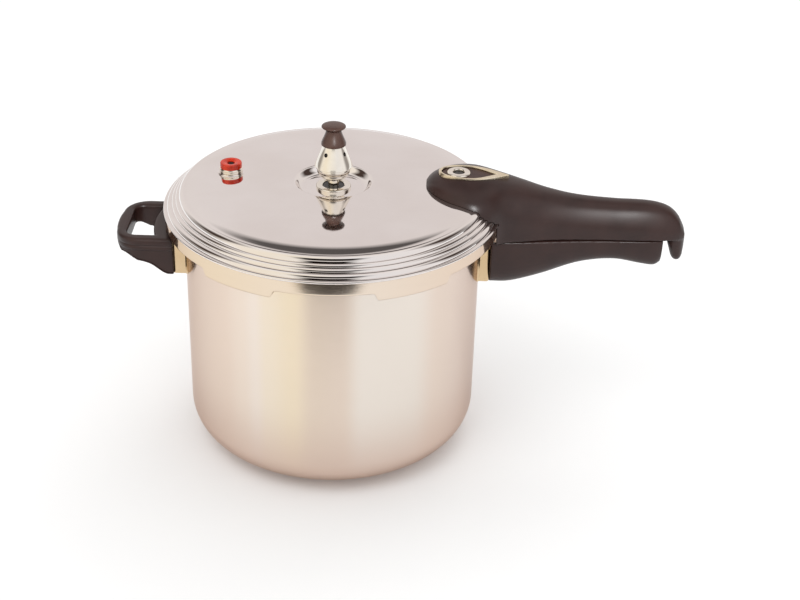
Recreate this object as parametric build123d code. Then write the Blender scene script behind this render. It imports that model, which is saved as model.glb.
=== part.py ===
from build123d import *
import os
from math import asin, cos, degrees, radians, sin

# Stove-top pressure cooker with a bayonet lid, in millimetres.
# The origin is the middle of the base on the worktop, +Z is up, +X points along the long handle.

# Pot
POT_R = 120.0            # outer radius of the wall
POT_WALL = 2.0
POT_CORNER_R = 28.0      # outer radius between wall and bottom
BASE_H = 5.0             # bonded base under the flat bottom of the pot
BASE_SHEET = 0.8         # steel cap of the base
RIM_Z = 195.0            # top of the rim
RIM_T = 2.5              # thickness of the turned-out rim
RIM_LIP = 2.8            # plain rim beyond the wall
POT_LUG = 11.5           # rim lugs beyond the wall
POT_LUG_DEG = 26.0

# Bayonet lid
LUG_COUNT = 6
LID_LUG_DEG = 25.0
LID_LUG_T = 2.0
LUG_PLAY = 0.5           # height left between lid lugs and rim lugs
LUG_PASS = 1.2           # radial room for a lid lug to pass the plain rim
SKIRT_PLAY = 1.5         # radial room between rim lugs and skirt
LUG_DROP = 6.0           # lid lugs hang this far below the edge of the skirt
LID_SHEET = 2.0
BEAD = 1.0               # bead beyond the skirt
BEAD_H = 2.5
STEPS = [(4.1, 3.6), (3.0, 2.7), (2.8, 2.4), (5.3, 4.6)]  # rolled steps, run inwards and rise
STEP_BULGE = 0.2         # roundness of a rolled step
CROWN_RISE = 5.5         # middle of the lid above its shoulder, before the dish is pressed in
DISH_R = 31.0
DISH_FLAT_R = 16.0
DISH_DEPTH = 6.0

# Sealing ring
SEAL_GAP = 0.3
SEAL_H = 10.3
SEAL_W = 11.0
SEAL_LIP = 3.0

# Screws of the handles
SCREW_R = 2.0
SCREW_HEAD_R = 3.8
SCREW_HEAD_H = 3.0
SCREW_PLAY = 0.1
SCREW_GRIP = 1.0         # screw beyond the sheet that it holds
CROSS_L = 3.6
CROSS_W = 1.0
CROSS_DEPTH = 1.2

# Folded brackets on the pot
BRACKET_SHEET = 1.5
SEAT_GAP = 0.2           # play of a piece in its pocket
POT_BRACKET_REACH = 8.0
POT_BRACKET_W = 38.0
POT_BRACKET_H = 29.0
POT_BRACKET_BELOW_RIM = 46.0
HELPER_BRACKET_REACH = 7.5
HELPER_BRACKET_W = 66.0
HELPER_BRACKET_H = 28.0
HELPER_BRACKET_BELOW_RIM = 39.0
FLANGE_W = 10.0          # welded tabs of the brackets
FLANGE_T = 1.2
TONGUE_T = 2.0
POT_TONGUE_L = 30.0
POT_TONGUE_W = 18.0
POT_TONGUE_BELOW_TOP = 9.0
POT_SCREW_REACH = 19.8   # screw from the front of the bracket
POT_SCREW_SINK = 15.0    # screw head below the tongue
HELPER_TONGUE_L = 11.0
HELPER_TONGUE_W = 40.0
HELPER_TONGUE_BELOW_TOP = 12.0
HELPER_SCREW_REACH = 6.0
HELPER_SCREW_PITCH = 25.6
HELPER_SCREW_SINK = 11.0

# Lower handle, on the pot: half width and depth at shares of its length
LOWER_ROWS = [(0.0, 24.0, 41.0), (0.12, 23.4, 40.5), (0.30, 20.6, 33.5), (0.52, 17.0, 22.0),
              (0.72, 15.4, 18.2), (0.90, 14.8, 21.5), (0.97, 13.6, 22.4), (1.0, 12.0, 20.0)]
LOWER_SECTION_COUNT = 14
HOOK_INSET = 18.5        # lower handle ends this far inside the end of the upper one
SPLIT_BELOW_RIM = 7.6    # parting face of the two long handles
SPLIT_GAP = 0.8

# Helper handle
HELPER_W = 72.0
HELPER_L = 47.5
HELPER_BAR = 10.0
HELPER_BAR_H = 10.0
HELPER_CORNER_R = 20.0
HELPER_HOLE_R = 8.0      # corners of the finger opening
HELPER_WEB = 14.0        # solid part between bracket and finger opening
HELPER_BULGE = 4.0       # web bulges into the opening
HELPER_BOW = 1.5         # outer bar bows outwards
HELPER_BELOW_RIM = 8.0
HELPER_EASE = 2.5

# Upper handle, on the lid: half width at the foot, half width and height of the waist, half width and height
# of the top, at shares of the nose (heights from the shoulder of the lid) and of the grip (heights from the
# parting face)
NOSE_L = 59.5            # nose inside the bead
GRIP_L = 150.0           # neck, grip and hook beyond the bead
NOSE_ROWS = [(-1.0, 11.0, 7.5, 2.0, 4.2, 6.2), (-0.94, 18.5, 16.0, 2.0, 9.0, 10.8),
             (-0.80, 28.5, 27.0, 1.6, 14.5, 14.3), (-0.61, 36.5, 35.5, 1.1, 18.5, 15.8),
             (-0.39, 40.5, 39.5, 0.3, 20.0, 15.6), (-0.20, 37.5, 37.0, -2.2, 19.0, 14.5)]
GRIP_ROWS = [(0.0, 27.5, 28.6, 28.0, 16.6, 46.0), (0.11, 23.2, 24.4, 23.5, 13.8, 41.8),
             (0.24, 19.4, 20.4, 18.5, 11.4, 36.2), (0.40, 16.9, 17.7, 15.0, 9.9, 31.4),
             (0.60, 15.6, 16.4, 13.0, 9.2, 29.0), (0.79, 15.2, 15.8, 12.0, 9.0, 28.0),
             (0.895, 14.2, 14.4, 10.2, 8.3, 24.2), (0.955, 12.0, 12.0, 7.6, 6.9, 16.8),
             (0.99, 8.2, 8.2, 4.0, 4.6, 7.2)]
UPPER_SECTION_COUNT = 22
TOP_EDGE = 0.8           # least drop from the middle of the top to its edges
# Hook: height from the parting face, middle from the end of the handle, half length and half width
HOOK_ROWS = [(3.0, 8.0, 8.0, 11.0), (-6.0, 6.8, 6.9, 9.6), (-14.0, 5.6, 5.5, 7.6), (-19.0, 5.0, 4.4, 5.8),
             (-22.0, 4.8, 2.6, 3.6)]
LID_BRACKET_L = 53.0
LID_BRACKET_W = 24.0
LID_BRACKET_T = 2.0
LID_BRACKET_LIFT = 1.5   # strip above the shoulder
LID_BRACKET_FOOT = 7.0   # welded end of the strip
LID_BRACKET_FROM_PIN = 7.0
LID_SCREW_PITCH = 10.0
LID_SCREW_EDGE = 4.0
LID_SCREW_SINK = 20.0
LID_BRACKET_COVER = 2.0  # handle wall between bead and bracket slot

# Inlay of the upper handle, and the locking pin that shows in it
PIN_INSET = 18.1         # locking pin inside the shoulder of the lid
INLAY_BACK = 16.0        # inlay from the pin towards the middle
INLAY_TIP = 40.5         # inlay from the pin to its point
INLAY_W = 27.0
INLAY_WIDEST = 7.0       # widest place of the inlay beyond the pin
INLAY_TILT = 2.2         # slope of the inlay down towards the grip, in degrees
INLAY_LIFT = 15.2        # face of the inlay above the shoulder of the lid
TRIM_W = 2.4
TRIM_TIP = 10.0          # trim at the point of the inlay
TRIM_PROUD = 0.5
INLAY_POCKET = 2.6
PANEL_SINK = 0.7
BEZEL_R = 9.4
BEZEL_PROUD = 1.0
BEZEL_SEAT = 5.0         # foot of the bezel below the face of the inlay
BEZEL_LIP = 3.0
BEZEL_EASE = 1.2
PIN_SINK = 1.6           # pin below the bezel at rest
PIN_HEAD_R = 4.4
PIN_HEAD_EASE = 0.8
PIN_STEM_R = 2.9
PIN_PLAY = 0.2
PIN_TRAVEL = 4.0
PIN_SEAL_T = 2.0
PIN_FLANGE_T = 2.0
PIN_FLANGE_R = 6.0
PIN_SEAL_EDGE = 0.5
PIN_SEAT_GAP = 0.4
CLIP_T = 1.0
CLIP_R = 5.2
CLIP_GROOVE = 0.6
CLIP_SLOT = 3.0

# Vent pipe and its fixings
VENT_FOOT_R = 13.1
VENT_FOOT_H = 2.6
VENT_FOOT_EASE = 1.2
VENT_R = 4.5
VENT_H = 26.5            # pipe above its foot
VENT_EASE = 1.0
VENT_BORE_R = 1.6
VENT_BELOW_NUT = 3.0
SHANK_R = 6.0
SHANK_PLAY = 0.2
NUT_H = 6.0
NUT_AF = 18.0
WASHER_T = 1.5
WASHER_W = 4.0
STRAINER_R = 9.0
STRAINER_H = 8.0
STRAINER_WALL = 0.8
STRAINER_GRIP = 1.5
STRAINER_SLOT = 1.6
STRAINER_SLOTS = 8

# Weight
WEIGHT_PLAY = 0.3
WEIGHT_FOOT = 6.8        # weight above the foot of the pipe
SLIT = 0.3               # parting lines of the weight
BOWL_R = 13.4
BOWL_FOOT_R = 7.0
BOWL_H = 9.0
BOWL_EASE = 0.8
BELL_R = 15.2
BELL_TOP_R = 8.7
BELL_H = 18.2
BELL_WALL_T = 4.0        # steam chamber of the bell above the end of the pipe
BELL_HOLE_R = 1.2
BELL_HOLE_DEG = 58.0
BELL_HOLES = 4
NEEDLE_R = 2.5
NEEDLE_H = 6.0
NEEDLE_TIP = 2.0
PRESS_FIT = 0.05
STUD_R = 3.0
STUD_H = 8.0
KNOB_R = 9.9
KNOB_H = 17.5
KNOB_EASE = 0.8

# Safety valve
VALVE_INSET = 33.1       # valve inside the shoulder of the lid
VALVE_DEG = 170.0
VALVE_PAD_R = 11.0
VALVE_PAD_PROUD = 0.15
VALVE_PAD_UNDER = 0.6
VALVE_R = 9.4
VALVE_RING_H = 3.4
VALVE_EASE = 0.8
VALVE_CAP_R = 8.75
VALVE_CAP_H = 4.4
VALVE_CAP_EASE = 1.0
VALVE_MOUTH = 2.2        # hollow in the top of the cap, around the stem
VALVE_BORE_R = 4.4
VALVE_SHANK_R = 6.0
VALVE_INLET_R = 2.0
VALVE_BELOW_NUT = 2.0
VALVE_CHAMBER = 4.0      # seat of the stem below the foot of the bright ring
STEM_R = 2.7
STEM_SEAT_GAP = 0.1
STEM_SEAL_T = 1.4
STEM_DISC_T = 1.5
STEM_SINK = 0.6          # stem below the top of the cap
STEM_EASE = 0.6
CAP_LID_T = 2.2
SPRING_WALL = 0.8

# Rack that stands in the pot
RACK_GAP = 12.0          # rack inside the wall
RACK_H = 15.0
RACK_SHEET = 1.2
RACK_HOLE_R = 4.0
RACK_RINGS = [(0.26, 6), (0.50, 12), (0.74, 18)]  # shares of the foot's radius, number of holes

# Cutters reach this far past the faces that they cut
OVER = 1.0

# Heights and radii that follow from the sizes above
inner_r = POT_R - POT_WALL
flat_r = POT_R - POT_CORNER_R
base_in_r = flat_r - BASE_SHEET
floor_z = BASE_H + POT_WALL
rim_r = POT_R + RIM_LIP
pot_lug_r = POT_R + POT_LUG
skirt_in_r = pot_lug_r + SKIRT_PLAY
skirt_r = skirt_in_r + LID_SHEET
bead_r = skirt_r + BEAD
lid_lug_in_r = rim_r + LUG_PASS
lid_lug_top = RIM_Z - RIM_T - LUG_PLAY
lid_lug_z = lid_lug_top - LID_LUG_T
skirt_z = lid_lug_z + LUG_DROP
seal_z = RIM_Z + SEAL_GAP
seal_top = seal_z + SEAL_H
seal_r = skirt_in_r - SEAL_GAP
ledge_in_z = seal_top + SEAL_GAP
ledge_z = ledge_in_z + BEAD_H
ledge_r = skirt_in_r + SEAL_GAP
shoulder_r = ledge_r - sum(run for run, rise in STEPS)
shoulder_z = ledge_z + sum(rise for run, rise in STEPS)
split_z = RIM_Z - SPLIT_BELOW_RIM
upper_z = split_z + SPLIT_GAP / 2
lower_z = split_z - SPLIT_GAP / 2


def crown_z(radius):
    return shoulder_z + CROWN_RISE * (1 - (radius / shoulder_r) ** 2)


dish_z = crown_z(DISH_R) - DISH_DEPTH
lid_under_z = dish_z - LID_SHEET

pot_bracket_z = RIM_Z - POT_BRACKET_BELOW_RIM
pot_root = POT_R + POT_BRACKET_REACH
lower_l = bead_r + GRIP_L - HOOK_INSET - pot_root
pot_tongue_z = pot_bracket_z + POT_BRACKET_H - POT_TONGUE_BELOW_TOP
pot_screw_x = pot_root + POT_SCREW_REACH
pot_screw_z = pot_tongue_z - POT_SCREW_SINK
pot_screw_l = POT_SCREW_SINK + TONGUE_T + SCREW_GRIP - SCREW_HEAD_H
helper_bracket_z = RIM_Z - HELPER_BRACKET_BELOW_RIM
helper_root = POT_R + HELPER_BRACKET_REACH
helper_end = helper_root + HELPER_L
helper_top = RIM_Z - HELPER_BELOW_RIM
helper_tongue_z = helper_bracket_z + HELPER_BRACKET_H - HELPER_TONGUE_BELOW_TOP
helper_screw_x = helper_root + HELPER_SCREW_REACH
helper_screw_ys = (-HELPER_SCREW_PITCH / 2, HELPER_SCREW_PITCH / 2)
helper_screw_z = helper_tongue_z - HELPER_SCREW_SINK
helper_screw_l = HELPER_SCREW_SINK + TONGUE_T + SCREW_GRIP - SCREW_HEAD_H

pin_x = shoulder_r - PIN_INSET
inlay_z = shoulder_z + INLAY_LIFT
bezel_top = inlay_z + BEZEL_PROUD
bezel_floor_z = inlay_z - BEZEL_SEAT
bezel_hole_r = PIN_HEAD_R + PIN_PLAY
bore_r = CLIP_R + 2 * PIN_PLAY
pin_top_z = bezel_top - PIN_SINK
pin_clip_z = crown_z(pin_x - CLIP_R) + SEAL_GAP
pin_under_z = crown_z(pin_x + PIN_STEM_R) - LID_SHEET
pin_seal_z = pin_under_z - PIN_TRAVEL - SEAL_GAP - PIN_SEAT_GAP - PIN_SEAL_T
pin_flange_z = pin_seal_z - PIN_FLANGE_T
clip_groove_r = PIN_STEM_R - CLIP_GROOVE

lid_bracket_x = pin_x + LID_BRACKET_FROM_PIN
lid_bracket_end = lid_bracket_x + LID_BRACKET_L
lid_strip_z = shoulder_z + LID_BRACKET_LIFT
lid_strip_top = lid_strip_z + LID_BRACKET_T
lid_screw_z = lid_strip_z - LID_SCREW_SINK
lid_screw_l = LID_SCREW_SINK + LID_BRACKET_T + SCREW_GRIP - SCREW_HEAD_H
lid_screw_xs = [lid_bracket_end - LID_SCREW_EDGE - LID_SCREW_PITCH * i for i in range(2)]

vent_foot_top = dish_z + VENT_FOOT_H
vent_top = vent_foot_top + VENT_H
vent_nut_z = lid_under_z - WASHER_T - NUT_H
vent_end_z = vent_nut_z - VENT_BELOW_NUT
nut_bore_r = SHANK_R + SCREW_PLAY
weight_z = vent_foot_top + WEIGHT_FOOT
weight_bore = VENT_R + WEIGHT_PLAY
bowl_top = weight_z + BOWL_H
bell_z = bowl_top + SLIT
bell_top = bell_z + BELL_H
chamber_top = vent_top + BELL_WALL_T
needle_z = vent_top + SLIT / 2
needle_top = needle_z + NEEDLE_H

valve_r = shoulder_r - VALVE_INSET
valve_x = valve_r * cos(radians(VALVE_DEG))
valve_y = valve_r * sin(radians(VALVE_DEG))
valve_z = crown_z(valve_r - VALVE_PAD_R) + VALVE_PAD_PROUD
valve_low_z = crown_z(valve_r + VALVE_PAD_R)
valve_under_z = valve_low_z - LID_SHEET - VALVE_PAD_UNDER
valve_cap_z = valve_z + VALVE_RING_H
valve_cap_top = valve_cap_z + VALVE_CAP_H
valve_nut_z = valve_under_z - WASHER_T - NUT_H
valve_end_z = valve_nut_z - VALVE_BELOW_NUT
valve_seat_z = valve_z - VALVE_CHAMBER
stem_seal_z = valve_seat_z + STEM_SEAT_GAP
stem_disc_z = stem_seal_z + STEM_SEAL_T
spring_z = stem_disc_z + STEM_DISC_T
cap_under_z = valve_cap_top - CAP_LID_T
stem_top_z = valve_cap_top - STEM_SINK
disc_r = VALVE_BORE_R - WEIGHT_PLAY


# Shared shapes

def lathe(*edges, arc=360.0):
    return revolve(Plane.XZ * make_face(edges), Axis.Z, arc)


def turned(*points, arc=360.0):
    return lathe(Polyline(*points, close=True), arc=arc)


def around(shape, count, start=0.0):
    return [Rot(0, 0, start + 360.0 / count * i) * shape for i in range(count)]


def block(x0, x1, width, z0, z1):
    return Pos((x0 + x1) / 2, 0, (z0 + z1) / 2) * Box(x1 - x0, width, z1 - z0)


def rod(radius, z0, z1, x=0.0, y=0.0):
    return Pos(x, y, (z0 + z1) / 2) * Cylinder(radius, z1 - z0)


def tube(radius, bore, z0, z1, x=0.0, y=0.0):
    return rod(radius, z0, z1, x, y) - rod(bore, z0 - OVER, z1 + OVER, x, y)


def screw(z_head, length, x, y=0.0):
    top = z_head + SCREW_HEAD_H
    cut_top = z_head + CROSS_DEPTH
    cross = block(-CROSS_W / 2, CROSS_W / 2, CROSS_L, z_head - OVER, cut_top)
    cross = cross + block(-CROSS_L / 2, CROSS_L / 2, CROSS_W, z_head - OVER, cut_top)
    body = rod(SCREW_HEAD_R, z_head, top, x, y) + rod(SCREW_R, top, top + length, x, y)
    return body - Pos(x, y, 0) * cross


def screw_hole(z_floor, z_head, length, x, y=0.0):
    top = z_head + SCREW_HEAD_H
    sink = rod(SCREW_HEAD_R + 2 * SCREW_PLAY, z_floor, top, x, y)
    return sink + rod(SCREW_R + SCREW_PLAY, top, top + length + SCREW_PLAY, x, y)


def hex_nut(bore, z0, x=0.0, y=0.0):
    prism = extrude(RegularPolygon(NUT_AF / 2, 6, major_radius=False), NUT_H)
    return Pos(x, y, z0) * prism - rod(bore, z0 - OVER, z0 + NUT_H + OVER, x, y)


# Pot and base

def corner_arc(radius, z, start, end):
    middle = (flat_r + radius * sin(radians(45)), z - radius * cos(radians(45)))
    return ThreePointArc(start, middle, end)


def pot_shell():
    turn_z = BASE_H + POT_CORNER_R
    shell = lathe(
        Line((0, BASE_H), (flat_r, BASE_H)),
        corner_arc(POT_CORNER_R, turn_z, (flat_r, BASE_H), (POT_R, turn_z)),
        Polyline((POT_R, turn_z), (POT_R, RIM_Z - RIM_T), (rim_r, RIM_Z - RIM_T), (rim_r, RIM_Z),
                 (inner_r, RIM_Z), (inner_r, turn_z)),
        corner_arc(POT_CORNER_R - POT_WALL, turn_z, (inner_r, turn_z), (flat_r, floor_z)),
        Polyline((flat_r, floor_z), (0, floor_z), (0, BASE_H)))
    lug = turned((POT_R, RIM_Z - RIM_T), (pot_lug_r, RIM_Z - RIM_T), (pot_lug_r, RIM_Z), (POT_R, RIM_Z),
                 arc=POT_LUG_DEG)
    return shell + around(lug, LUG_COUNT, -POT_LUG_DEG / 2)


def base_cap():
    return turned((0, 0), (base_in_r, 0), (flat_r, BASE_SHEET), (flat_r, BASE_H), (base_in_r, BASE_H),
                  (base_in_r, BASE_SHEET), (0, BASE_SHEET))


def base_core():
    return rod(base_in_r, BASE_SHEET, BASE_H)


# Folded brackets: a box open above and below, welded tabs on the pot and a tongue inside the handle

def bracket(root, width, z0, height, tongue_l, tongue_w, tongue_z):
    half = width / 2
    pot = rod(POT_R, z0 - OVER, z0 + height + OVER)
    box = block(flat_r, root, width, z0, z0 + height)
    hollow = block(0, root - BRACKET_SHEET, width - 2 * BRACKET_SHEET, z0 - OVER, z0 + height + OVER)
    inner_deg = degrees(asin((half - BRACKET_SHEET) / POT_R))
    outer_deg = degrees(asin((half + FLANGE_W) / POT_R))
    tab = turned((POT_R, z0), (POT_R + FLANGE_T, z0), (POT_R + FLANGE_T, z0 + height), (POT_R, z0 + height),
                 arc=outer_deg - inner_deg)
    tabs = [Rot(0, 0, inner_deg) * tab, Rot(0, 0, -outer_deg) * tab]
    tongue = block(root - BRACKET_SHEET, root + tongue_l, tongue_w, tongue_z, tongue_z + TONGUE_T)
    return box - hollow - pot + tabs + tongue


def tongue_hole(tongue_z, x, y=0.0):
    return rod(SCREW_R + SCREW_PLAY, tongue_z - OVER, tongue_z + TONGUE_T + OVER, x, y)


def tongue_slot(root, length, width, z):
    return block(root - OVER, root + length + SEAT_GAP, width + 2 * SEAT_GAP, z - SEAT_GAP,
                 z + TONGUE_T + SEAT_GAP)


def pot_bracket():
    body = bracket(pot_root, POT_BRACKET_W, pot_bracket_z, POT_BRACKET_H, POT_TONGUE_L, POT_TONGUE_W,
                   pot_tongue_z)
    return body - tongue_hole(pot_tongue_z, pot_screw_x)


def helper_bracket():
    body = bracket(helper_root, HELPER_BRACKET_W, helper_bracket_z, HELPER_BRACKET_H, HELPER_TONGUE_L,
                   HELPER_TONGUE_W, helper_tongue_z)
    body = body - [tongue_hole(helper_tongue_z, helper_screw_x, y) for y in helper_screw_ys]
    return Rot(0, 0, 180) * body


# Both long handles are lofted through evenly spaced sections, eased between a few chosen stations

def eased(rows, x):
    last = len(rows) - 1
    i = max(k for k in range(last) if rows[k][0] <= x)
    step = rows[i + 1][0] - rows[i][0]
    t = (x - rows[i][0]) / step

    def slope(k, j):
        low, high = rows[max(k - 1, 0)], rows[min(k + 1, last)]
        return (high[j] - low[j]) / (high[0] - low[0]) * step

    values = []
    for j in range(1, len(rows[0])):
        start, end = rows[i][j], rows[i + 1][j]
        curve = (2 * start - 2 * end + slope(i, j) + slope(i + 1, j)) * t ** 3
        curve += (3 * end - 3 * start - 2 * slope(i, j) - slope(i + 1, j)) * t ** 2
        values.append(curve + slope(i, j) * t + start)
    return values


def lofted(section, rows, count):
    first, last = rows[0][0], rows[-1][0]
    places = [first + (last - first) * k / (count - 1) for k in range(count)]
    return loft([section(x, *eased(rows, x)) for x in places])


# Lower handle: flat on top, deep at the bracket, waisted at the grip

def lower_section(x, half, depth):
    right = Spline((half, lower_z), (0.97 * half, lower_z - 0.55 * depth),
                   (0.62 * half, lower_z - 0.9 * depth), (0, lower_z - depth), tangents=((0, -1), (-1, 0)))
    left = mirror(right, Plane.YZ)
    top = Line((-half, lower_z), (half, lower_z))
    return Pos(x, 0, 0) * (Plane.YZ * make_face([right, left, top]))


def lower_handle():
    rows = [(pot_root + t * lower_l, half, depth) for t, half, depth in LOWER_ROWS]
    body = lofted(lower_section, rows, LOWER_SECTION_COUNT)
    body = body - tongue_slot(pot_root, POT_TONGUE_L, POT_TONGUE_W, pot_tongue_z)
    return body - screw_hole(0, pot_screw_z, pot_screw_l, pot_screw_x)


def pot_handle_screw():
    return screw(pot_screw_z, pot_screw_l, pot_screw_x)


# Helper handle: a loop with a finger opening, deep at the bracket and thin at the outer bar

def helper_plan():
    half = HELPER_W / 2
    end = helper_end - HELPER_BOW
    turn = end - HELPER_CORNER_R
    side = half - HELPER_CORNER_R
    arc_x = end - 0.35 * HELPER_CORNER_R
    arc_y = half - 0.25 * HELPER_CORNER_R
    return make_face([
        Line((helper_root, -half), (turn, -half)),
        ThreePointArc((turn, -half), (arc_x, -arc_y), (end, -side)),
        ThreePointArc((end, -side), (helper_end, 0), (end, side)),
        ThreePointArc((end, side), (arc_x, arc_y), (turn, half)),
        Polyline((turn, half), (helper_root, half), (helper_root, -half))])


def helper_side():
    low = helper_bracket_z
    drop = helper_top - low
    bar_z = helper_top - HELPER_BAR_H
    foot_x = helper_root + 0.4 * HELPER_BAR
    tip_x = helper_end - 0.6 * HELPER_BAR
    nose_z = bar_z + 0.4 * HELPER_BAR_H
    return make_face([
        Polyline((helper_end, nose_z), (helper_end, helper_top), (helper_root, helper_top),
                 (helper_root, low), (foot_x, low)),
        Spline((foot_x, low), (helper_root + 0.32 * HELPER_L, helper_top - 0.72 * drop),
               (helper_root + 0.64 * HELPER_L, bar_z - 0.25 * HELPER_BAR_H), (tip_x, bar_z),
               tangents=((1, 0.35), (1, -0.1))),
        Line((tip_x, bar_z), (helper_end, nose_z))])


def helper_opening():
    half = HELPER_W / 2 - HELPER_BAR
    out = helper_end - HELPER_BAR
    turn = out - HELPER_HOLE_R
    side = half - HELPER_HOLE_R
    arc = HELPER_HOLE_R * (1 - sin(radians(45)))
    web = helper_root + HELPER_WEB
    return make_face([
        Line((web, -half), (turn, -half)),
        ThreePointArc((turn, -half), (out - arc, -half + arc), (out, -side)),
        Line((out, -side), (out, side)),
        ThreePointArc((out, side), (out - arc, half - arc), (turn, half)),
        Line((turn, half), (web, half)),
        ThreePointArc((web, half), (web + HELPER_BULGE, 0), (web, -half))])


def helper_handle():
    body = extrude(helper_plan(), helper_top) & extrude(Plane.XZ * helper_side(), HELPER_W, both=True)
    body = body - extrude(helper_opening(), helper_top + OVER)
    rim = body.edges().filter_by_position(Axis.Z, helper_top - SCREW_PLAY, helper_top + SCREW_PLAY)
    rim = rim.filter_by(lambda edge: edge.center().X > helper_root + SCREW_PLAY)
    body = fillet(rim, HELPER_EASE)
    body = body - tongue_slot(helper_root, HELPER_TONGUE_L, HELPER_TONGUE_W, helper_tongue_z)
    body = body - [screw_hole(0, helper_screw_z, helper_screw_l, helper_screw_x, y) for y in helper_screw_ys]
    return Rot(0, 0, 180) * body


def helper_screws():
    pair = [screw(helper_screw_z, helper_screw_l, helper_screw_x, y) for y in helper_screw_ys]
    return Rot(0, 0, 180) * Compound(children=pair)


# Lid: crown with a shallow dish, rolled steps, bead and a skirt with lugs turned in under the rim

def rolled_step(inner, outer):
    run = outer[0] - inner[0]
    drop = inner[1] - outer[1]
    middle = (inner[0] + run / 2 + STEP_BULGE * drop, outer[1] + drop / 2 + STEP_BULGE * run)
    return ThreePointArc(inner, middle, outer)


def lid_outside(grow=0.0):
    corners = [(ledge_r, ledge_z)]
    for run, rise in STEPS:
        corners.append((corners[-1][0] - run, corners[-1][1] + rise))
    corners = [(r + grow, z + grow) for r, z in reversed(corners)]
    corners.append((bead_r + grow, ledge_z - 0.6 * BEAD_H + grow))
    return corners, [rolled_step(a, b) for a, b in zip(corners, corners[1:])]


def lid_crown(start_r, grow=0.0):
    mid_r = (start_r + shoulder_r) / 2
    return ThreePointArc((start_r, crown_z(start_r) + grow), (mid_r, crown_z(mid_r) + grow),
                         (shoulder_r + grow, shoulder_z + grow))


def lid_filled(grow, z0):
    corners, edges = lid_outside(grow)
    wall = skirt_r + grow
    under = ledge_in_z - grow
    return lathe(lid_crown(0.0, grow), *edges,
                 Polyline(corners[-1], (bead_r + grow, under), (wall, under), (wall, z0), (0, z0),
                          (0, crown_z(0) + grow)))


def lid_shell():
    hole_r = SHANK_R + SHANK_PLAY
    corners, edges = lid_outside()
    bead_foot = (skirt_r, ledge_in_z)
    turn_r = shoulder_r - LUG_PLAY
    mid_r = (DISH_R + turn_r) / 2
    corner = 0.8 * LID_LUG_T
    shell = lathe(
        Polyline((hole_r, dish_z), (DISH_FLAT_R, dish_z), (DISH_R, crown_z(DISH_R))),
        lid_crown(DISH_R),
        *edges,
        ThreePointArc(corners[-1], (bead_r - 0.15 * BEAD, ledge_z - 0.85 * BEAD_H), bead_foot),
        Line(bead_foot, (skirt_r, lid_lug_z + corner)),
        ThreePointArc((skirt_r, lid_lug_z + corner), (skirt_r - 0.3 * corner, lid_lug_z + 0.3 * corner),
                      (skirt_r - corner, lid_lug_z)),
        Polyline((skirt_r - corner, lid_lug_z), (lid_lug_in_r, lid_lug_z), (lid_lug_in_r, lid_lug_top),
                 (skirt_in_r, lid_lug_top), (skirt_in_r, ledge_in_z), (turn_r, crown_z(turn_r) - LID_SHEET)),
        ThreePointArc((turn_r, crown_z(turn_r) - LID_SHEET), (mid_r, crown_z(mid_r) - LID_SHEET),
                      (DISH_R, crown_z(DISH_R) - LID_SHEET)),
        Polyline((DISH_R, crown_z(DISH_R) - LID_SHEET), (DISH_FLAT_R, lid_under_z), (hole_r, lid_under_z),
                 (hole_r, dish_z)))
    notch = turned((POT_R, lid_lug_z - OVER), (bead_r + OVER, lid_lug_z - OVER), (bead_r + OVER, skirt_z),
                   (POT_R, skirt_z), arc=360.0 / LUG_COUNT - LID_LUG_DEG)
    shell = shell - around(notch, LUG_COUNT, LID_LUG_DEG / 2)
    shell = shell + rod(VALVE_PAD_R, valve_low_z - LID_SHEET / 2, valve_z, valve_x, valve_y)
    shell = shell - rod(VALVE_SHANK_R + SHANK_PLAY, 0, valve_z + OVER, valve_x, valve_y)
    return shell - rod(PIN_STEM_R + PIN_PLAY, 0, inlay_z, pin_x)


def sealing_ring():
    lip_r = seal_r - SEAL_W
    back_r = seal_r - SEAL_LIP
    return turned((lip_r, seal_z), (seal_r, seal_z), (seal_r, seal_top), (lip_r, seal_top),
                  (lip_r, seal_top - SEAL_LIP), (back_r, seal_top - SEAL_LIP), (back_r, seal_z + SEAL_LIP),
                  (lip_r, seal_z + SEAL_LIP))


# Upper handle: a broad nose on the lid, a neck, a grip and a hook at the end

def upper_section(x, foot_half, waist_half, waist_z, top_half, top_z):
    edge_drop = 0.12 * (top_z - waist_z) + TOP_EDGE
    right = Spline((foot_half, upper_z), (waist_half, upper_z + waist_z),
                   (top_half, upper_z + top_z - edge_drop), (0, upper_z + top_z), tangents=((0, 1), (-1, 0)))
    left = mirror(right, Plane.YZ)
    bottom = Line((-foot_half, upper_z), (foot_half, upper_z))
    return Pos(x, 0, 0) * (Plane.YZ * make_face([right, left, bottom]))


def upper_body():
    rise = shoulder_z - upper_z
    rows = [(bead_r + t * NOSE_L, foot, waist, rise + waist_z, top, rise + top_z)
            for t, foot, waist, waist_z, top, top_z in NOSE_ROWS]
    rows += [(bead_r + t * GRIP_L, *sizes) for t, *sizes in GRIP_ROWS]
    return lofted(upper_section, rows, UPPER_SECTION_COUNT)


def hook():
    end = bead_r + GRIP_L
    return loft([Pos(end - inset, 0, upper_z + z) * Ellipse(rx, ry) for z, inset, rx, ry in HOOK_ROWS])


def drop_shape(inset, tip_inset):
    half = INLAY_W / 2 - inset
    side = Spline((inset - INLAY_BACK, 0), (INLAY_WIDEST, half), (INLAY_TIP - tip_inset, 0),
                  tangents=((0, 1), (0.86, -0.5)))
    return make_face([side, mirror(side, Plane.XZ)])


def drop_plate(inset, tip_inset, low, high):
    plate = Pos(0, 0, low) * extrude(drop_shape(inset, tip_inset), high - low)
    return Pos(pin_x, 0, inlay_z) * Rot(0, INLAY_TILT, 0) * plate


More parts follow.
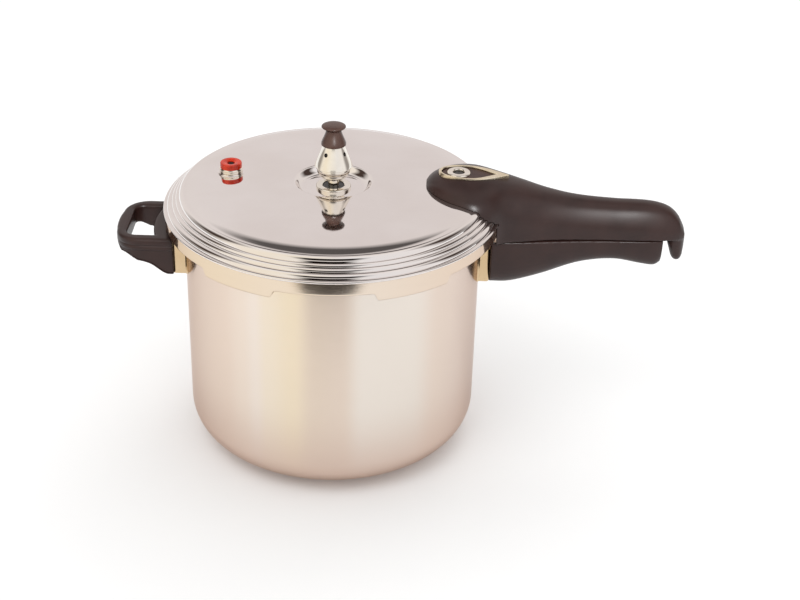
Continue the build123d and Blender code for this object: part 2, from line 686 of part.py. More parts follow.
def lid_bracket():
    strip = block(lid_bracket_x, lid_bracket_end, LID_BRACKET_W, lid_strip_z, lid_strip_top)
    foot = block(lid_bracket_x, lid_bracket_x + LID_BRACKET_FOOT, LID_BRACKET_W, skirt_z + OVER,
                 lid_strip_z + SEAT_GAP)
    body = strip + (foot - lid_filled(0.0, skirt_z))
    hole_r = SCREW_R + SCREW_PLAY
    return body - [rod(hole_r, lid_strip_z - OVER, lid_strip_top + OVER, x) for x in lid_screw_xs]


def lid_handle_screws():
    return Compound(children=[screw(lid_screw_z, lid_screw_l, x) for x in lid_screw_xs])


def lid_handle():
    body = upper_body() + hook() - lid_filled(SEAT_GAP, floor_z)
    body = body - drop_plate(-SEAT_GAP, -SEAT_GAP, -INLAY_POCKET, INLAY_LIFT)
    slot = block(lid_bracket_x - SEAT_GAP, lid_bracket_end + SEAT_GAP, LID_BRACKET_W + 2 * SEAT_GAP, skirt_z,
                 lid_strip_top + SEAT_GAP)
    keep = block(bead_r + LID_BRACKET_COVER, lid_bracket_end + OVER, LID_BRACKET_W + OVER, skirt_z - OVER,
                 lid_strip_z - SEAT_GAP)
    body = body - (slot - keep)
    body = body - [screw_hole(0, lid_screw_z, lid_screw_l, x) for x in lid_screw_xs]
    body = body - rod(bore_r, skirt_z, inlay_z, pin_x)
    return body - rod(BEZEL_R + SEAT_GAP, bezel_floor_z, inlay_z + INLAY_LIFT, pin_x)


def trim_ring():
    return (drop_plate(0.0, 0.0, -INLAY_POCKET, TRIM_PROUD)
            - drop_plate(TRIM_W, TRIM_TIP, -INLAY_POCKET - OVER, TRIM_PROUD + OVER))


def inlay_panel():
    panel = drop_plate(TRIM_W + SEAT_GAP, TRIM_TIP + SEAT_GAP, -INLAY_POCKET, -PANEL_SINK)
    return panel - rod(BEZEL_R + SEAT_GAP, shoulder_z, inlay_z + INLAY_LIFT, pin_x)


def indicator_bezel():
    lip_z = bezel_top - BEZEL_LIP
    body = turned((bore_r, bezel_floor_z), (BEZEL_R, bezel_floor_z), (BEZEL_R, bezel_top - BEZEL_EASE),
                  (BEZEL_R - BEZEL_EASE, bezel_top), (bezel_hole_r + BEZEL_EASE, bezel_top),
                  (bezel_hole_r, bezel_top - BEZEL_EASE), (bezel_hole_r, lip_z), (bore_r, lip_z))
    return Pos(pin_x, 0, 0) * body


# Locking pin: it rises through the lid under pressure and shows in the bezel

def lock_pin():
    clip_top = pin_clip_z + CLIP_T
    step = PIN_HEAD_R - PIN_STEM_R
    body = turned((0, pin_flange_z), (PIN_FLANGE_R, pin_flange_z), (PIN_FLANGE_R, pin_seal_z),
                  (PIN_STEM_R, pin_seal_z), (PIN_STEM_R, pin_clip_z), (clip_groove_r, pin_clip_z),
                  (clip_groove_r, clip_top), (PIN_STEM_R, clip_top), (PIN_STEM_R, clip_top + step),
                  (PIN_HEAD_R, clip_top + 2 * step), (PIN_HEAD_R, pin_top_z - PIN_HEAD_EASE),
                  (PIN_HEAD_R - PIN_HEAD_EASE, pin_top_z), (0, pin_top_z))
    return Pos(pin_x, 0, 0) * body


def lock_pin_seal():
    return tube(PIN_FLANGE_R - PIN_SEAL_EDGE, PIN_STEM_R, pin_seal_z, pin_seal_z + PIN_SEAL_T, pin_x)


def lock_pin_clip():
    top = pin_clip_z + CLIP_T
    ring = tube(CLIP_R, clip_groove_r, pin_clip_z, top, pin_x)
    return ring - block(pin_x, pin_x + CLIP_R + OVER, CLIP_SLOT, pin_clip_z - OVER, top + OVER)


# Vent pipe, its fixings under the lid, and the weight on top

def vent_pipe():
    ease = VENT_FOOT_EASE
    return turned((VENT_BORE_R, vent_end_z), (SHANK_R, vent_end_z), (SHANK_R, dish_z), (VENT_FOOT_R, dish_z),
                  (VENT_FOOT_R, vent_foot_top - ease), (VENT_FOOT_R - ease, vent_foot_top),
                  (VENT_R, vent_foot_top), (VENT_R, vent_top - VENT_EASE), (VENT_R - VENT_EASE, vent_top),
                  (VENT_BORE_R, vent_top))


def vent_washer():
    return tube(SHANK_R + WASHER_W, nut_bore_r, lid_under_z - WASHER_T, lid_under_z)


def strainer_cap():
    top = vent_end_z + STRAINER_GRIP
    low = top - STRAINER_H
    wall = STRAINER_WALL
    in_r = STRAINER_R - wall
    cup = turned((0, low), (STRAINER_R, low), (STRAINER_R, top), (nut_bore_r, top), (nut_bore_r, top - wall),
                 (in_r, top - wall), (in_r, low + wall), (0, low + wall))
    slot = block(in_r - OVER, STRAINER_R + OVER, STRAINER_SLOT, low + 2 * wall, top - 2 * wall)
    return cup - around(slot, STRAINER_SLOTS)


def weight_bowl():
    return lathe(
        Line((weight_bore, weight_z), (BOWL_FOOT_R, weight_z)),
        ThreePointArc((BOWL_FOOT_R, weight_z), (0.86 * BOWL_R, weight_z + 0.40 * BOWL_H),
                      (BOWL_R, bowl_top - BOWL_EASE)),
        Polyline((BOWL_R, bowl_top - BOWL_EASE), (BOWL_R - BOWL_EASE, bowl_top), (weight_bore, bowl_top),
                 (weight_bore, weight_z)))


def weight_bell():
    seat_r = NEEDLE_R + PRESS_FIT
    body = lathe(
        Polyline((weight_bore, bell_z), (BELL_R - BOWL_EASE, bell_z), (BELL_R, bell_z + BOWL_EASE)),
        Spline((BELL_R, bell_z + BOWL_EASE), (0.74 * BELL_R, bell_z + 0.5 * BELL_H), (BELL_TOP_R, bell_top),
               tangents=((-0.2, 1), (-0.3, 1))),
        Polyline((BELL_TOP_R, bell_top), (STUD_R, bell_top), (STUD_R, bell_top + STUD_H),
                 (0, bell_top + STUD_H), (0, needle_top), (seat_r, needle_top), (seat_r, chamber_top),
                 (weight_bore, chamber_top), (weight_bore, bell_z)))
    hole = Pos(0, 0, chamber_top - 1.5 * BELL_HOLE_R) * (Rot(0, 90, 0) * Cylinder(BELL_HOLE_R, BELL_R))
    return body - around(Pos(BELL_R - weight_bore / 2, 0, 0) * hole, BELL_HOLES, BELL_HOLE_DEG)


def weight_needle():
    return turned((0, needle_z - NEEDLE_TIP), (VENT_BORE_R - PIN_PLAY, needle_z), (NEEDLE_R, needle_z),
                  (NEEDLE_R, needle_top), (0, needle_top))


def weight_knob():
    z0 = bell_top
    bore = STUD_R + PRESS_FIT
    stud_top = z0 + STUD_H + SLIT
    band = (KNOB_R, z0 + 2 * KNOB_EASE)
    waist = (0.61 * KNOB_R, z0 + 0.71 * KNOB_H)
    brim = (0.98 * KNOB_R, z0 + 0.89 * KNOB_H)
    return lathe(
        Polyline((bore, z0), (KNOB_R - KNOB_EASE, z0), (KNOB_R, z0 + KNOB_EASE), band),
        Spline(band, (0.79 * KNOB_R, z0 + 0.41 * KNOB_H), waist, tangents=((-0.25, 1), (-0.05, 1))),
        Spline(waist, brim, tangents=((0.3, 1), (0.3, 1))),
        Spline(brim, (0.86 * KNOB_R, z0 + 0.975 * KNOB_H), (0, z0 + KNOB_H), tangents=((0, 1), (-1, 0))),
        Polyline((0, z0 + KNOB_H), (0, stud_top), (bore, stud_top), (bore, z0)))


# Safety valve: bright body through the lid, orange cap, stem pressed on its seat by a spring

def at_valve(shape):
    return Pos(valve_x, valve_y, 0) * shape


def valve_body():
    body = turned((VALVE_INLET_R, valve_end_z), (VALVE_SHANK_R, valve_end_z), (VALVE_SHANK_R, valve_z),
                  (VALVE_R, valve_z), (VALVE_R, valve_cap_z - VALVE_EASE),
                  (VALVE_R - VALVE_EASE, valve_cap_z), (VALVE_BORE_R, valve_cap_z),
                  (VALVE_BORE_R, valve_seat_z), (VALVE_INLET_R, valve_seat_z))
    return at_valve(body)


def valve_cap():
    mouth = STEM_R + WEIGHT_PLAY
    edge_z = valve_cap_top - VALVE_CAP_EASE
    body = turned((VALVE_BORE_R, valve_cap_z), (VALVE_CAP_R, valve_cap_z), (VALVE_CAP_R, edge_z),
                  (VALVE_CAP_R - VALVE_CAP_EASE, valve_cap_top), (mouth + VALVE_MOUTH, valve_cap_top),
                  (mouth, edge_z), (mouth, cap_under_z), (VALVE_BORE_R, cap_under_z))
    return at_valve(body)


def valve_washer():
    return at_valve(tube(VALVE_SHANK_R + WASHER_W, VALVE_SHANK_R + SCREW_PLAY, valve_under_z - WASHER_T,
                         valve_under_z))


def valve_stem():
    body = turned((0, stem_disc_z), (disc_r, stem_disc_z), (disc_r, spring_z), (STEM_R, spring_z),
                  (STEM_R, stem_top_z - STEM_EASE), (STEM_R - STEM_EASE, stem_top_z), (0, stem_top_z))
    return at_valve(body)


def stem_seal():
    return at_valve(rod(disc_r, stem_seal_z, stem_disc_z))


def valve_spring():
    bore = STEM_R + WEIGHT_PLAY / 2
    return at_valve(tube(bore + SPRING_WALL, bore, spring_z, cap_under_z))


# Rack that stands in the pot

def steam_rack():
    z0 = floor_z + SEAL_GAP
    top = z0 + RACK_H
    under = top - RACK_SHEET
    plate_r = inner_r - RACK_GAP
    wall_r = flat_r - RACK_SHEET
    body = turned((wall_r, z0), (flat_r, z0), (flat_r, under), (plate_r, under), (plate_r, top), (0, top),
                  (0, under), (wall_r, under))
    holes = [rod(RACK_HOLE_R, under - OVER, top + OVER)]
    for share, count in RACK_RINGS:
        holes += around(rod(RACK_HOLE_R, under - OVER, top + OVER, share * flat_r), count)
    return body - holes


nodes = {
    "pot_shell": pot_shell(),
    "base_cap": base_cap(),
    "base_core": base_core(),
    "pot_handle_bracket": pot_bracket(),
    "pot_handle": lower_handle(),
    "pot_handle_screw": pot_handle_screw(),
    "helper_bracket": helper_bracket(),
    "helper_handle": helper_handle(),
    "helper_screws": helper_screws(),
    "steam_rack": steam_rack(),
    "sealing_ring": sealing_ring(),
    "lid_shell": lid_shell(),
    "lid_handle": lid_handle(),
    "lid_handle_bracket": lid_bracket(),
    "lid_handle_screws": lid_handle_screws(),
    "inlay_trim": trim_ring(),
    "inlay_panel": inlay_panel(),
    "indicator_bezel": indicator_bezel(),
    "lock_pin": lock_pin(),
    "lock_pin_seal": lock_pin_seal(),
    "lock_pin_clip": lock_pin_clip(),
    "vent_pipe": vent_pipe(),
    "vent_washer": vent_washer(),
    "vent_nut": hex_nut(nut_bore_r, vent_nut_z),
    "strainer_cap": strainer_cap(),
    "weight_bowl": weight_bowl(),
    "weight_bell": weight_bell(),
    "weight_needle": weight_needle(),
    "weight_knob": weight_knob(),
    "valve_body": valve_body(),
    "valve_cap": valve_cap(),
    "valve_washer": valve_washer(),
    "valve_nut": hex_nut(VALVE_SHANK_R + SCREW_PLAY, valve_nut_z, valve_x, valve_y),
    "valve_stem": valve_stem(),
    "stem_seal": stem_seal(),
    "valve_spring": valve_spring(),
}

os.makedirs("parts", exist_ok=True)
for name, shape in nodes.items():
    export_step(shape, f"parts/{name}.step")
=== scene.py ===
import math

import bmesh
import bpy
from mathutils import Matrix, Vector


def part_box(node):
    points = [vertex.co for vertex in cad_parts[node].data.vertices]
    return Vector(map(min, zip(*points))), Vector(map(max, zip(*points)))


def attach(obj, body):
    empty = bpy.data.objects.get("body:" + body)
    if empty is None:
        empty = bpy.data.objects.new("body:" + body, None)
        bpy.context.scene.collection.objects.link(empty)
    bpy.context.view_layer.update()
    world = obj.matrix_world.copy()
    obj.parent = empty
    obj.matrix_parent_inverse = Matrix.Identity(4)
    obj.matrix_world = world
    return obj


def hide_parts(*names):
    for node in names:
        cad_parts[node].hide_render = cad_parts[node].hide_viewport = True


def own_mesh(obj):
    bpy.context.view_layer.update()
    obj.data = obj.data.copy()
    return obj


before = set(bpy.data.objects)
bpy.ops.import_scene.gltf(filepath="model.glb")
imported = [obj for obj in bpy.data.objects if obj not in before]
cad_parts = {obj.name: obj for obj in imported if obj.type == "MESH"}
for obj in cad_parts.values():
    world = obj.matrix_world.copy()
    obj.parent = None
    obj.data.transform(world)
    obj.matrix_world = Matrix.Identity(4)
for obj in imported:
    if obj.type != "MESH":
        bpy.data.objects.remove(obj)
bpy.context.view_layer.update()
mm = 0.001


# Colours are sRGB hex values, turned to the linear values that shaders take
def linear(hexColour):
    channels = [int(hexColour[i:i + 2], 16) / 255 for i in (1, 3, 5)]
    return [c / 12.92 if c <= 0.04045 else ((c + 0.055) / 1.055) ** 2.4 for c in channels] + [1.0]


# Adds one node, sets its own settings, then fills or links its inputs
def addNode(tree, kind, inputs=None, **settings):
    node = tree.nodes.new(kind)
    for name, value in settings.items():
        setattr(node, name, value)
    for name, value in (inputs or {}).items():
        if isinstance(value, bpy.types.NodeSocket):
            tree.links.new(value, node.inputs[name])
        else:
            node.inputs[name].default_value = value
    return node


def newMaterial(name):
    material = bpy.data.materials.new(name)
    material.use_nodes = True
    material.node_tree.nodes.clear()
    return material, material.node_tree


def finishMaterial(tree, shader):
    addNode(tree, "ShaderNodeOutputMaterial", {"Surface": shader.outputs[0]})


def rampStops(node, stops):
    elements = node.color_ramp.elements
    elements.remove(elements[1])
    elements[0].position = stops[0][0]
    elements[0].color = linear(stops[0][1])
    for at, colour in stops[1:]:
        elements.new(at).color = linear(colour)


# Noise keeps mostly between these values
noiseSpan = {"From Min": 0.3, "From Max": 0.7}


# Drawn stainless steel, satin ground round the pot: fine level lines that smear reflections upright.
# Broad upright bands of warmer and cooler colour are painted reflections, and the browner colour near the
# base is painted shade.
def satinStainlessSteel(name, paintedReflectionBands, edge, roughness, lineMm):
    look = {"stretch": (0.02, 0.02, 1.0), "lineDark": 0.96, "paintedBaseShade": "#D9C2B4", "paintedShadeTop": 0.09,
            "paintedShadeFoot": 0.005, "anisotropy": 0.92, "quarterTurn": 0.25, "bump": 0.03, "bumpDepth": 0.0002}
    material, tree = newMaterial(name)
    where = addNode(tree, "ShaderNodeTexCoord").outputs["Object"]
    # grinding lines really are finer than a tenth of a millimetre and are drawn coarser so that they show
    level = addNode(tree, "ShaderNodeMapping", {"Vector": where, "Scale": look["stretch"]}).outputs["Vector"]
    lines = addNode(tree, "ShaderNodeTexNoise", {"Vector": level, "Scale": 1000 / lineMm, "Detail": 3.0})
    axes = addNode(tree, "ShaderNodeSeparateXYZ", {"Vector": where})
    depth = addNode(tree, "ShaderNodeMath", {0: axes.outputs["Y"]}, operation="ABSOLUTE")
    angle = addNode(tree, "ShaderNodeMath", {0: axes.outputs["X"], 1: depth.outputs["Value"]},
                    operation="ARCTAN2")
    # painted reflection: upright bands of warmer and cooler colour, set by the angle round the pot
    share = addNode(tree, "ShaderNodeMapRange", {
        "Value": angle.outputs["Value"], "From Min": -math.pi / 2, "From Max": math.pi / 2})
    tint = addNode(tree, "ShaderNodeValToRGB", {"Fac": share.outputs["Result"]})
    rampStops(tint, [((degrees + 90) / 180, colour) for degrees, colour in paintedReflectionBands])
    tint.color_ramp.interpolation = "EASE"
    grey = addNode(tree, "ShaderNodeMapRange", {
        "Value": lines.outputs["Fac"], **noiseSpan, "To Min": look["lineDark"], "To Max": 1.0})
    lined = addNode(tree, "ShaderNodeMix", {
        "Factor": 1.0, "A": tint.outputs["Color"], "B": grey.outputs["Result"]},
        data_type="RGBA", blend_type="MULTIPLY")
    # painted shade: the colour turns darker and browner towards the base
    shadeNearBase = addNode(tree, "ShaderNodeMapRange", {
        "Value": axes.outputs["Z"], "From Min": look["paintedShadeTop"], "From Max": look["paintedShadeFoot"]},
        interpolation_type="SMOOTHSTEP")
    paintedBaseShade = addNode(tree, "ShaderNodeMix", {
        "Factor": shadeNearBase.outputs["Result"], "A": lined.outputs["Result"], "B": linear(look["paintedBaseShade"])},
        data_type="RGBA")
    rough = addNode(tree, "ShaderNodeMapRange", {
        "Value": lines.outputs["Fac"], **noiseSpan, "To Min": roughness * 0.9, "To Max": roughness * 1.1})
    bump = addNode(tree, "ShaderNodeBump", {
        "Height": lines.outputs["Fac"], "Strength": look["bump"], "Distance": look["bumpDepth"]})
    around = addNode(tree, "ShaderNodeTangent", direction_type="RADIAL", axis="Z")
    shader = addNode(tree, "ShaderNodeBsdfPrincipled", {
        "Base Color": paintedBaseShade.outputs["Result"], "Roughness": rough.outputs["Result"],
        "Normal": bump.outputs["Normal"], "Tangent": around.outputs["Tangent"], "Metallic": 1.0,
        "Specular Tint": linear(edge), "Anisotropic": look["anisotropy"],
        "Anisotropic Rotation": look["quarterTurn"]})
    finishMaterial(tree, shader)
    return material


# Stainless steel polished to a mirror, with faint hairlines that run round the lid
def mirrorStainlessSteel(name):
    look = {"pale": "#EFEAE8", "warm": "#EAE4E1", "hairMm": 0.8, "cloudMm": 60.0, "roughness": 0.03,
            "dulled": 0.06, "bump": 0.02, "bumpDepth": 0.0001}
    material, tree = newMaterial(name)
    where = addNode(tree, "ShaderNodeTexCoord").outputs["Object"]
    axes = addNode(tree, "ShaderNodeSeparateXYZ", {"Vector": where})
    flat = addNode(tree, "ShaderNodeCombineXYZ", {"X": axes.outputs["X"], "Y": axes.outputs["Y"]})
    reach = addNode(tree, "ShaderNodeVectorMath", {0: flat.outputs["Vector"]}, operation="LENGTH")
    ring = addNode(tree, "ShaderNodeCombineXYZ", {"X": reach.outputs["Value"], "Y": axes.outputs["Z"]})
    hair = addNode(tree, "ShaderNodeTexNoise", {
        "Vector": ring.outputs["Vector"], "Scale": 1000 / look["hairMm"], "Detail": 2.0})
    clouds = addNode(tree, "ShaderNodeTexNoise", {
        "Vector": where, "Scale": 1000 / look["cloudMm"], "Detail": 3.0})
    tint = addNode(tree, "ShaderNodeValToRGB", {"Fac": clouds.outputs["Fac"]})
    rampStops(tint, [(0.35, look["warm"]), (0.65, look["pale"])])
    rough = addNode(tree, "ShaderNodeMapRange", {
        "Value": clouds.outputs["Fac"], **noiseSpan, "To Min": look["roughness"], "To Max": look["dulled"]})
    bump = addNode(tree, "ShaderNodeBump", {
        "Height": hair.outputs["Fac"], "Strength": look["bump"], "Distance": look["bumpDepth"]})
    shader = addNode(tree, "ShaderNodeBsdfPrincipled", {
        "Base Color": tint.outputs["Color"], "Roughness": rough.outputs["Result"],
        "Normal": bump.outputs["Normal"], "Metallic": 1.0})
    finishMaterial(tree, shader)
    return material


# A metal that is much the same all over: small clouds of polish change its gloss a little
def plainMetal(name, pale, dark, roughness, cloudMm):
    material, tree = newMaterial(name)
    where = addNode(tree, "ShaderNodeTexCoord").outputs["Object"]
    clouds = addNode(tree, "ShaderNodeTexNoise", {"Vector": where, "Scale": 1000 / cloudMm, "Detail": 4.0})
    tint = addNode(tree, "ShaderNodeValToRGB", {"Fac": clouds.outputs["Fac"]})
    rampStops(tint, [(0.3, dark), (0.7, pale)])
    rough = addNode(tree, "ShaderNodeMapRange", {
        "Value": clouds.outputs["Fac"], **noiseSpan, "To Min": roughness * 0.8, "To Max": roughness * 1.25})
    shader = addNode(tree, "ShaderNodeBsdfPrincipled", {
        "Base Color": tint.outputs["Color"], "Roughness": rough.outputs["Result"], "Metallic": 1.0})
    finishMaterial(tree, shader)
    return material


# A moulded plastic or rubber: fine grain from the mould, slow clouds in colour and gloss
def mouldedPlastic(name, pale, dark, roughness, grainMm, grainDepth, cloudMm, specular=0.5):
    material, tree = newMaterial(name)
    where = addNode(tree, "ShaderNodeTexCoord").outputs["Object"]
    grain = addNode(tree, "ShaderNodeTexNoise", {"Vector": where, "Scale": 1000 / grainMm, "Detail": 2.0})
    clouds = addNode(tree, "ShaderNodeTexNoise", {"Vector": where, "Scale": 1000 / cloudMm, "Detail": 3.0})
    tint = addNode(tree, "ShaderNodeValToRGB", {"Fac": clouds.outputs["Fac"]})
    rampStops(tint, [(0.3, dark), (0.7, pale)])
    rough = addNode(tree, "ShaderNodeMapRange", {
        "Value": clouds.outputs["Fac"], **noiseSpan, "To Min": roughness * 0.9, "To Max": roughness * 1.15})
    bump = addNode(tree, "ShaderNodeBump", {
        "Height": grain.outputs["Fac"], "Strength": 0.25, "Distance": grainDepth * mm})
    shader = addNode(tree, "ShaderNodeBsdfPrincipled", {
        "Base Color": tint.outputs["Color"], "Roughness": rough.outputs["Result"],
        "Normal": bump.outputs["Normal"], "Specular IOR Level": specular})
    finishMaterial(tree, shader)
    return material


finishes = {
    # painted reflection bands: degrees from the front, mirrored at the back, and a colour
    "potSteel": satinStainlessSteel("satinStainlessSteel", [
        (-90, "#E6D6CA"), (-62, "#E6D5C7"), (-42, "#E8D6C7"), (-33, "#ECDDCF"), (-27, "#EFE3D8"),
        (-22, "#EFE2D0"), (-12, "#EEDFC7"), (-4, "#EAD9C8"), (6, "#EAD9CA"), (14, "#EAE1D7"),
        (34, "#E9E0D6"), (46, "#E6D6C9"), (62, "#E5D5CA"), (90, "#E6D7CE")], "#DFD5D0", 0.24, 0.5),
    # the skirt is ground finer and keeps clearer reflections; its bands are painted reflections too
    "skirtSteel": satinStainlessSteel("fineGroundStainlessSteel", [
        (-90, "#E2CEB6"), (-40, "#E4D1B7"), (-10, "#E5D4BF"), (10, "#E4D5C5"), (50, "#E1CEBC"),
        (90, "#DECBBA")], "#DCD0CA", 0.06, 0.3),
    "lidSteel": mirrorStainlessSteel("mirrorStainlessSteel"),
    # rolled sheet, bright and a little warm
    "sheetSteel": plainMetal("polishedSheetSteel", "#D6BD99", "#C9AE88", 0.20, 25.0),
    # turned and plated brass: hard dark and bright stripes
    "chrome": plainMetal("chromePlatedBrass", "#F4EFE6", "#EAE3D8", 0.05, 12.0),
    # stamped and anodised: pale champagne rather than white
    "trimGold": plainMetal("champagneAnodisedAluminium", "#EDE2CC", "#DFD0B2", 0.22, 14.0),
    # plated and left plain: dull and grey
    "fixingSteel": plainMetal("zincPlatedSteel", "#B9B4AD", "#9A958E", 0.35, 6.0),
    # rolled and not polished: softer than the pot
    "baseSteel": plainMetal("rolledStainlessSteel", "#D8CCC0", "#C9BCB0", 0.30, 20.0),
    # stamped sheet: even and pale, with broad soft highlights
    "aluminium": plainMetal("stampedAluminium", "#D2D2D0", "#BEBEBC", 0.38, 15.0),
    # nearly black, with a dull gloss: painted shade, so that the stem in the cap's hole reads dark
    "stemBrass": plainMetal("shadeDarkenedBrass", "#2E2A2C", "#201C1E", 0.45, 5.0),
    # compression-moulded phenolic resin: brown-black with a soft sheen
    "phenolic": mouldedPlastic("mouldedPhenolic", "#2B1A17", "#211311", 0.36, 0.5, 0.03, 22.0, 0.34),
    # the same resin polished: browner and a little glossier
    "knobPhenolic": mouldedPlastic("polishedPhenolic", "#4C3831", "#412E28", 0.30, 0.5, 0.01, 9.0, 0.3),
    # pressed sheet: smooth, brown and glossy
    "inlay": mouldedPlastic("glossyBrownAcrylic", "#46302A", "#382420", 0.24, 0.4, 0.01, 12.0, 0.16),
    # injection moulded: strong colour with a clear highlight
    "orange": mouldedPlastic("orangeNylon", "#DB3408", "#A81F04", 0.20, 0.4, 0.01, 5.0),
    # moulded rubber: matt grey
    "rubber": mouldedPlastic("greySiliconeRubber", "#8A8885", "#767471", 0.60, 0.4, 0.03, 20.0),
    # injection moulded: black with a soft gloss
    "pin": mouldedPlastic("blackNylon", "#2C2827", "#221F1E", 0.35, 0.4, 0.01, 5.0),
}
print("materials made:", len(finishes))


# Outlines are (radius, height) points in millimetres, turned round the Z axis
def ellipseArc(centreR, centreZ, reachR, reachZ, startDeg, endDeg, steps):
    angles = [math.radians(startDeg + (endDeg - startDeg) * i / steps) for i in range(steps + 1)]
    return [(centreR + reachR * math.cos(a), centreZ + reachZ * math.sin(a)) for a in angles]


def bezier(p0, p1, p2, p3, steps):
    points = []
    for i in range(steps + 1):
        t = i / steps
        weights = ((1 - t) ** 3, 3 * t * (1 - t) ** 2, 3 * t * t * (1 - t), t ** 3)
        points.append(tuple(sum(w * p[k] for w, p in zip(weights, (p0, p1, p2, p3))) for k in (0, 1)))
    return points


def clamp(t):
    return min(max(t, 0.0), 1.0)


def easeInOut(t):
    return t * t * (3 - 2 * t)


# Values between rows, eased from one row to the next by their first column
def easeRows(rows, x):
    last = len(rows) - 1
    i = max(k for k in range(last) if rows[k][0] <= x or k == 0)
    step = rows[i + 1][0] - rows[i][0]
    t = (x - rows[i][0]) / step

    def slope(k, j):
        low, high = rows[max(k - 1, 0)], rows[min(k + 1, last)]
        return (high[j] - low[j]) / (high[0] - low[0]) * step

    values = []
    for j in range(1, len(rows[0])):
        start, end, s0, s1 = rows[i][j], rows[i + 1][j], slope(i, j), slope(i + 1, j)
        values.append((2 * start - 2 * end + s0 + s1) * t ** 3 + (3 * end - 3 * start - 2 * s0 - s1) * t ** 2
                      + s0 * t + start)
    return values


def nodeGroup(name, sockets):
    tree = bpy.data.node_groups.new(name, "GeometryNodeTree")
    tree.interface.new_socket("Geometry", in_out="INPUT", socket_type="NodeSocketGeometry")
    for label, kind in sockets:
        tree.interface.new_socket(label, in_out="INPUT", socket_type=kind)
    tree.interface.new_socket("Geometry", in_out="OUTPUT", socket_type="NodeSocketGeometry")
    return tree, addNode(tree, "NodeGroupInput")


# Sweeps an outline, drawn in the XZ plane, once round the Z axis
def latheTree():
    guide = 0.1  # radius of the guide circle; the outline is shifted by as much
    tree, given = nodeGroup("turnedOnALathe", [("Sides", "NodeSocketInt"), ("Finish", "NodeSocketMaterial")])
    turned = addNode(tree, "GeometryNodeTransform", {
        "Geometry": given.outputs["Geometry"], "Rotation": (math.pi / 2, 0, 0),
        "Translation": (-guide, 0, 0)})
    outline = addNode(tree, "GeometryNodeMeshToCurve", {"Mesh": turned.outputs["Geometry"]})
    ring = addNode(tree, "GeometryNodeCurvePrimitiveCircle", {
        "Resolution": given.outputs["Sides"], "Radius": guide})
    swept = addNode(tree, "GeometryNodeCurveToMesh", {
        "Curve": ring.outputs["Curve"], "Profile Curve": outline.outputs["Curve"]})
    closed = addNode(tree, "GeometryNodeMergeByDistance", {
        "Geometry": swept.outputs["Mesh"], "Distance": 1e-6})
    real = addNode(tree, "GeometryNodeRealizeInstances", {"Geometry": closed.outputs["Geometry"]})
    painted = addNode(tree, "GeometryNodeSetMaterial", {
        "Geometry": real.outputs["Geometry"], "Material": given.outputs["Finish"]})
    addNode(tree, "NodeGroupOutput", {"Geometry": painted.outputs["Geometry"]})
    return tree


# Repeats one piece evenly round the Z axis
def roundTree():
    tree, given = nodeGroup("repeatedRoundTheAxis", [
        ("Count", "NodeSocketInt"), ("First Angle", "NodeSocketFloat"), ("Finish", "NodeSocketMaterial")])
    points = addNode(tree, "GeometryNodePoints", {"Count": given.outputs["Count"], "Radius": 0.001})
    index = addNode(tree, "GeometryNodeInputIndex")
    step = addNode(tree, "ShaderNodeMath", {0: math.tau, 1: given.outputs["Count"]}, operation="DIVIDE")
    turn = addNode(tree, "ShaderNodeMath", {
        0: index.outputs["Index"], 1: step.outputs["Value"], 2: given.outputs["First Angle"]},
        operation="MULTIPLY_ADD")
    angles = addNode(tree, "ShaderNodeCombineXYZ", {"Z": turn.outputs["Value"]})
    copies = addNode(tree, "GeometryNodeInstanceOnPoints", {
        "Points": points.outputs["Points"], "Instance": given.outputs["Geometry"],
        "Rotation": angles.outputs["Vector"]})
    real = addNode(tree, "GeometryNodeRealizeInstances", {"Geometry": copies.outputs["Instances"]})
    joined = addNode(tree, "GeometryNodeMergeByDistance", {
        "Geometry": real.outputs["Geometry"], "Distance": 1e-5})
    painted = addNode(tree, "GeometryNodeSetMaterial", {
        "Geometry": joined.outputs["Geometry"], "Material": given.outputs["Finish"]})
    addNode(tree, "NodeGroupOutput", {"Geometry": painted.outputs["Geometry"]})
    return tree


trees = {"lathe": latheTree(), "round": roundTree()}


def newObject(name, mesh):
    piece = bpy.data.objects.new(name, mesh)
    bpy.context.scene.collection.objects.link(piece)
    return piece


# Closed pieces get outward normals, smooth faces and sharp corners
def tidyMesh(mesh, sharpDeg=32.0):
    work = bmesh.new()
    work.from_mesh(mesh)
    bmesh.ops.dissolve_degenerate(work, edges=work.edges, dist=1e-7)
    bmesh.ops.recalc_face_normals(work, faces=work.faces)
    for face in work.faces:
        face.smooth = True
    work.to_mesh(mesh)
    work.free()
    mesh.set_sharp_from_angle(angle=math.radians(sharpDeg))


# Runs a node tree on a mesh and gives back a plain mesh
def runTree(name, mesh, tree, values):
    source = newObject(name + "Source", mesh)
    modifier = source.modifiers.new("shape", "NODES")
    modifier.node_group = tree
    for item in tree.interface.items_tree:
        if item.in_out == "INPUT" and item.name in values:
            modifier[item.identifier] = values[item.name]
    made = bpy.data.meshes.new_from_object(source.evaluated_get(bpy.context.evaluated_depsgraph_get()))
    source.modifiers.remove(modifier)
    bpy.data.objects.remove(source)
    made.name = name
    return made


def place(piece, body, slotName, *nodes):
    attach(piece, body)
    if nodes:
        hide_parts(*nodes)


def meshFrom(name, build):
    mesh = bpy.data.meshes.new(name)
    work = bmesh.new()
    build(work)
    bmesh.ops.recalc_face_normals(work, faces=work.faces)
    work.to_mesh(mesh)
    work.free()
    return mesh


# Makes one piece and repeats it round the Z axis
def repeatedMesh(name, build, finish, count, firstDeg=0.0):
    values = {"Count": count, "First Angle": math.radians(firstDeg), "Finish": finishes[finish]}
    return runTree(name, meshFrom(name, build), trees["round"], values)


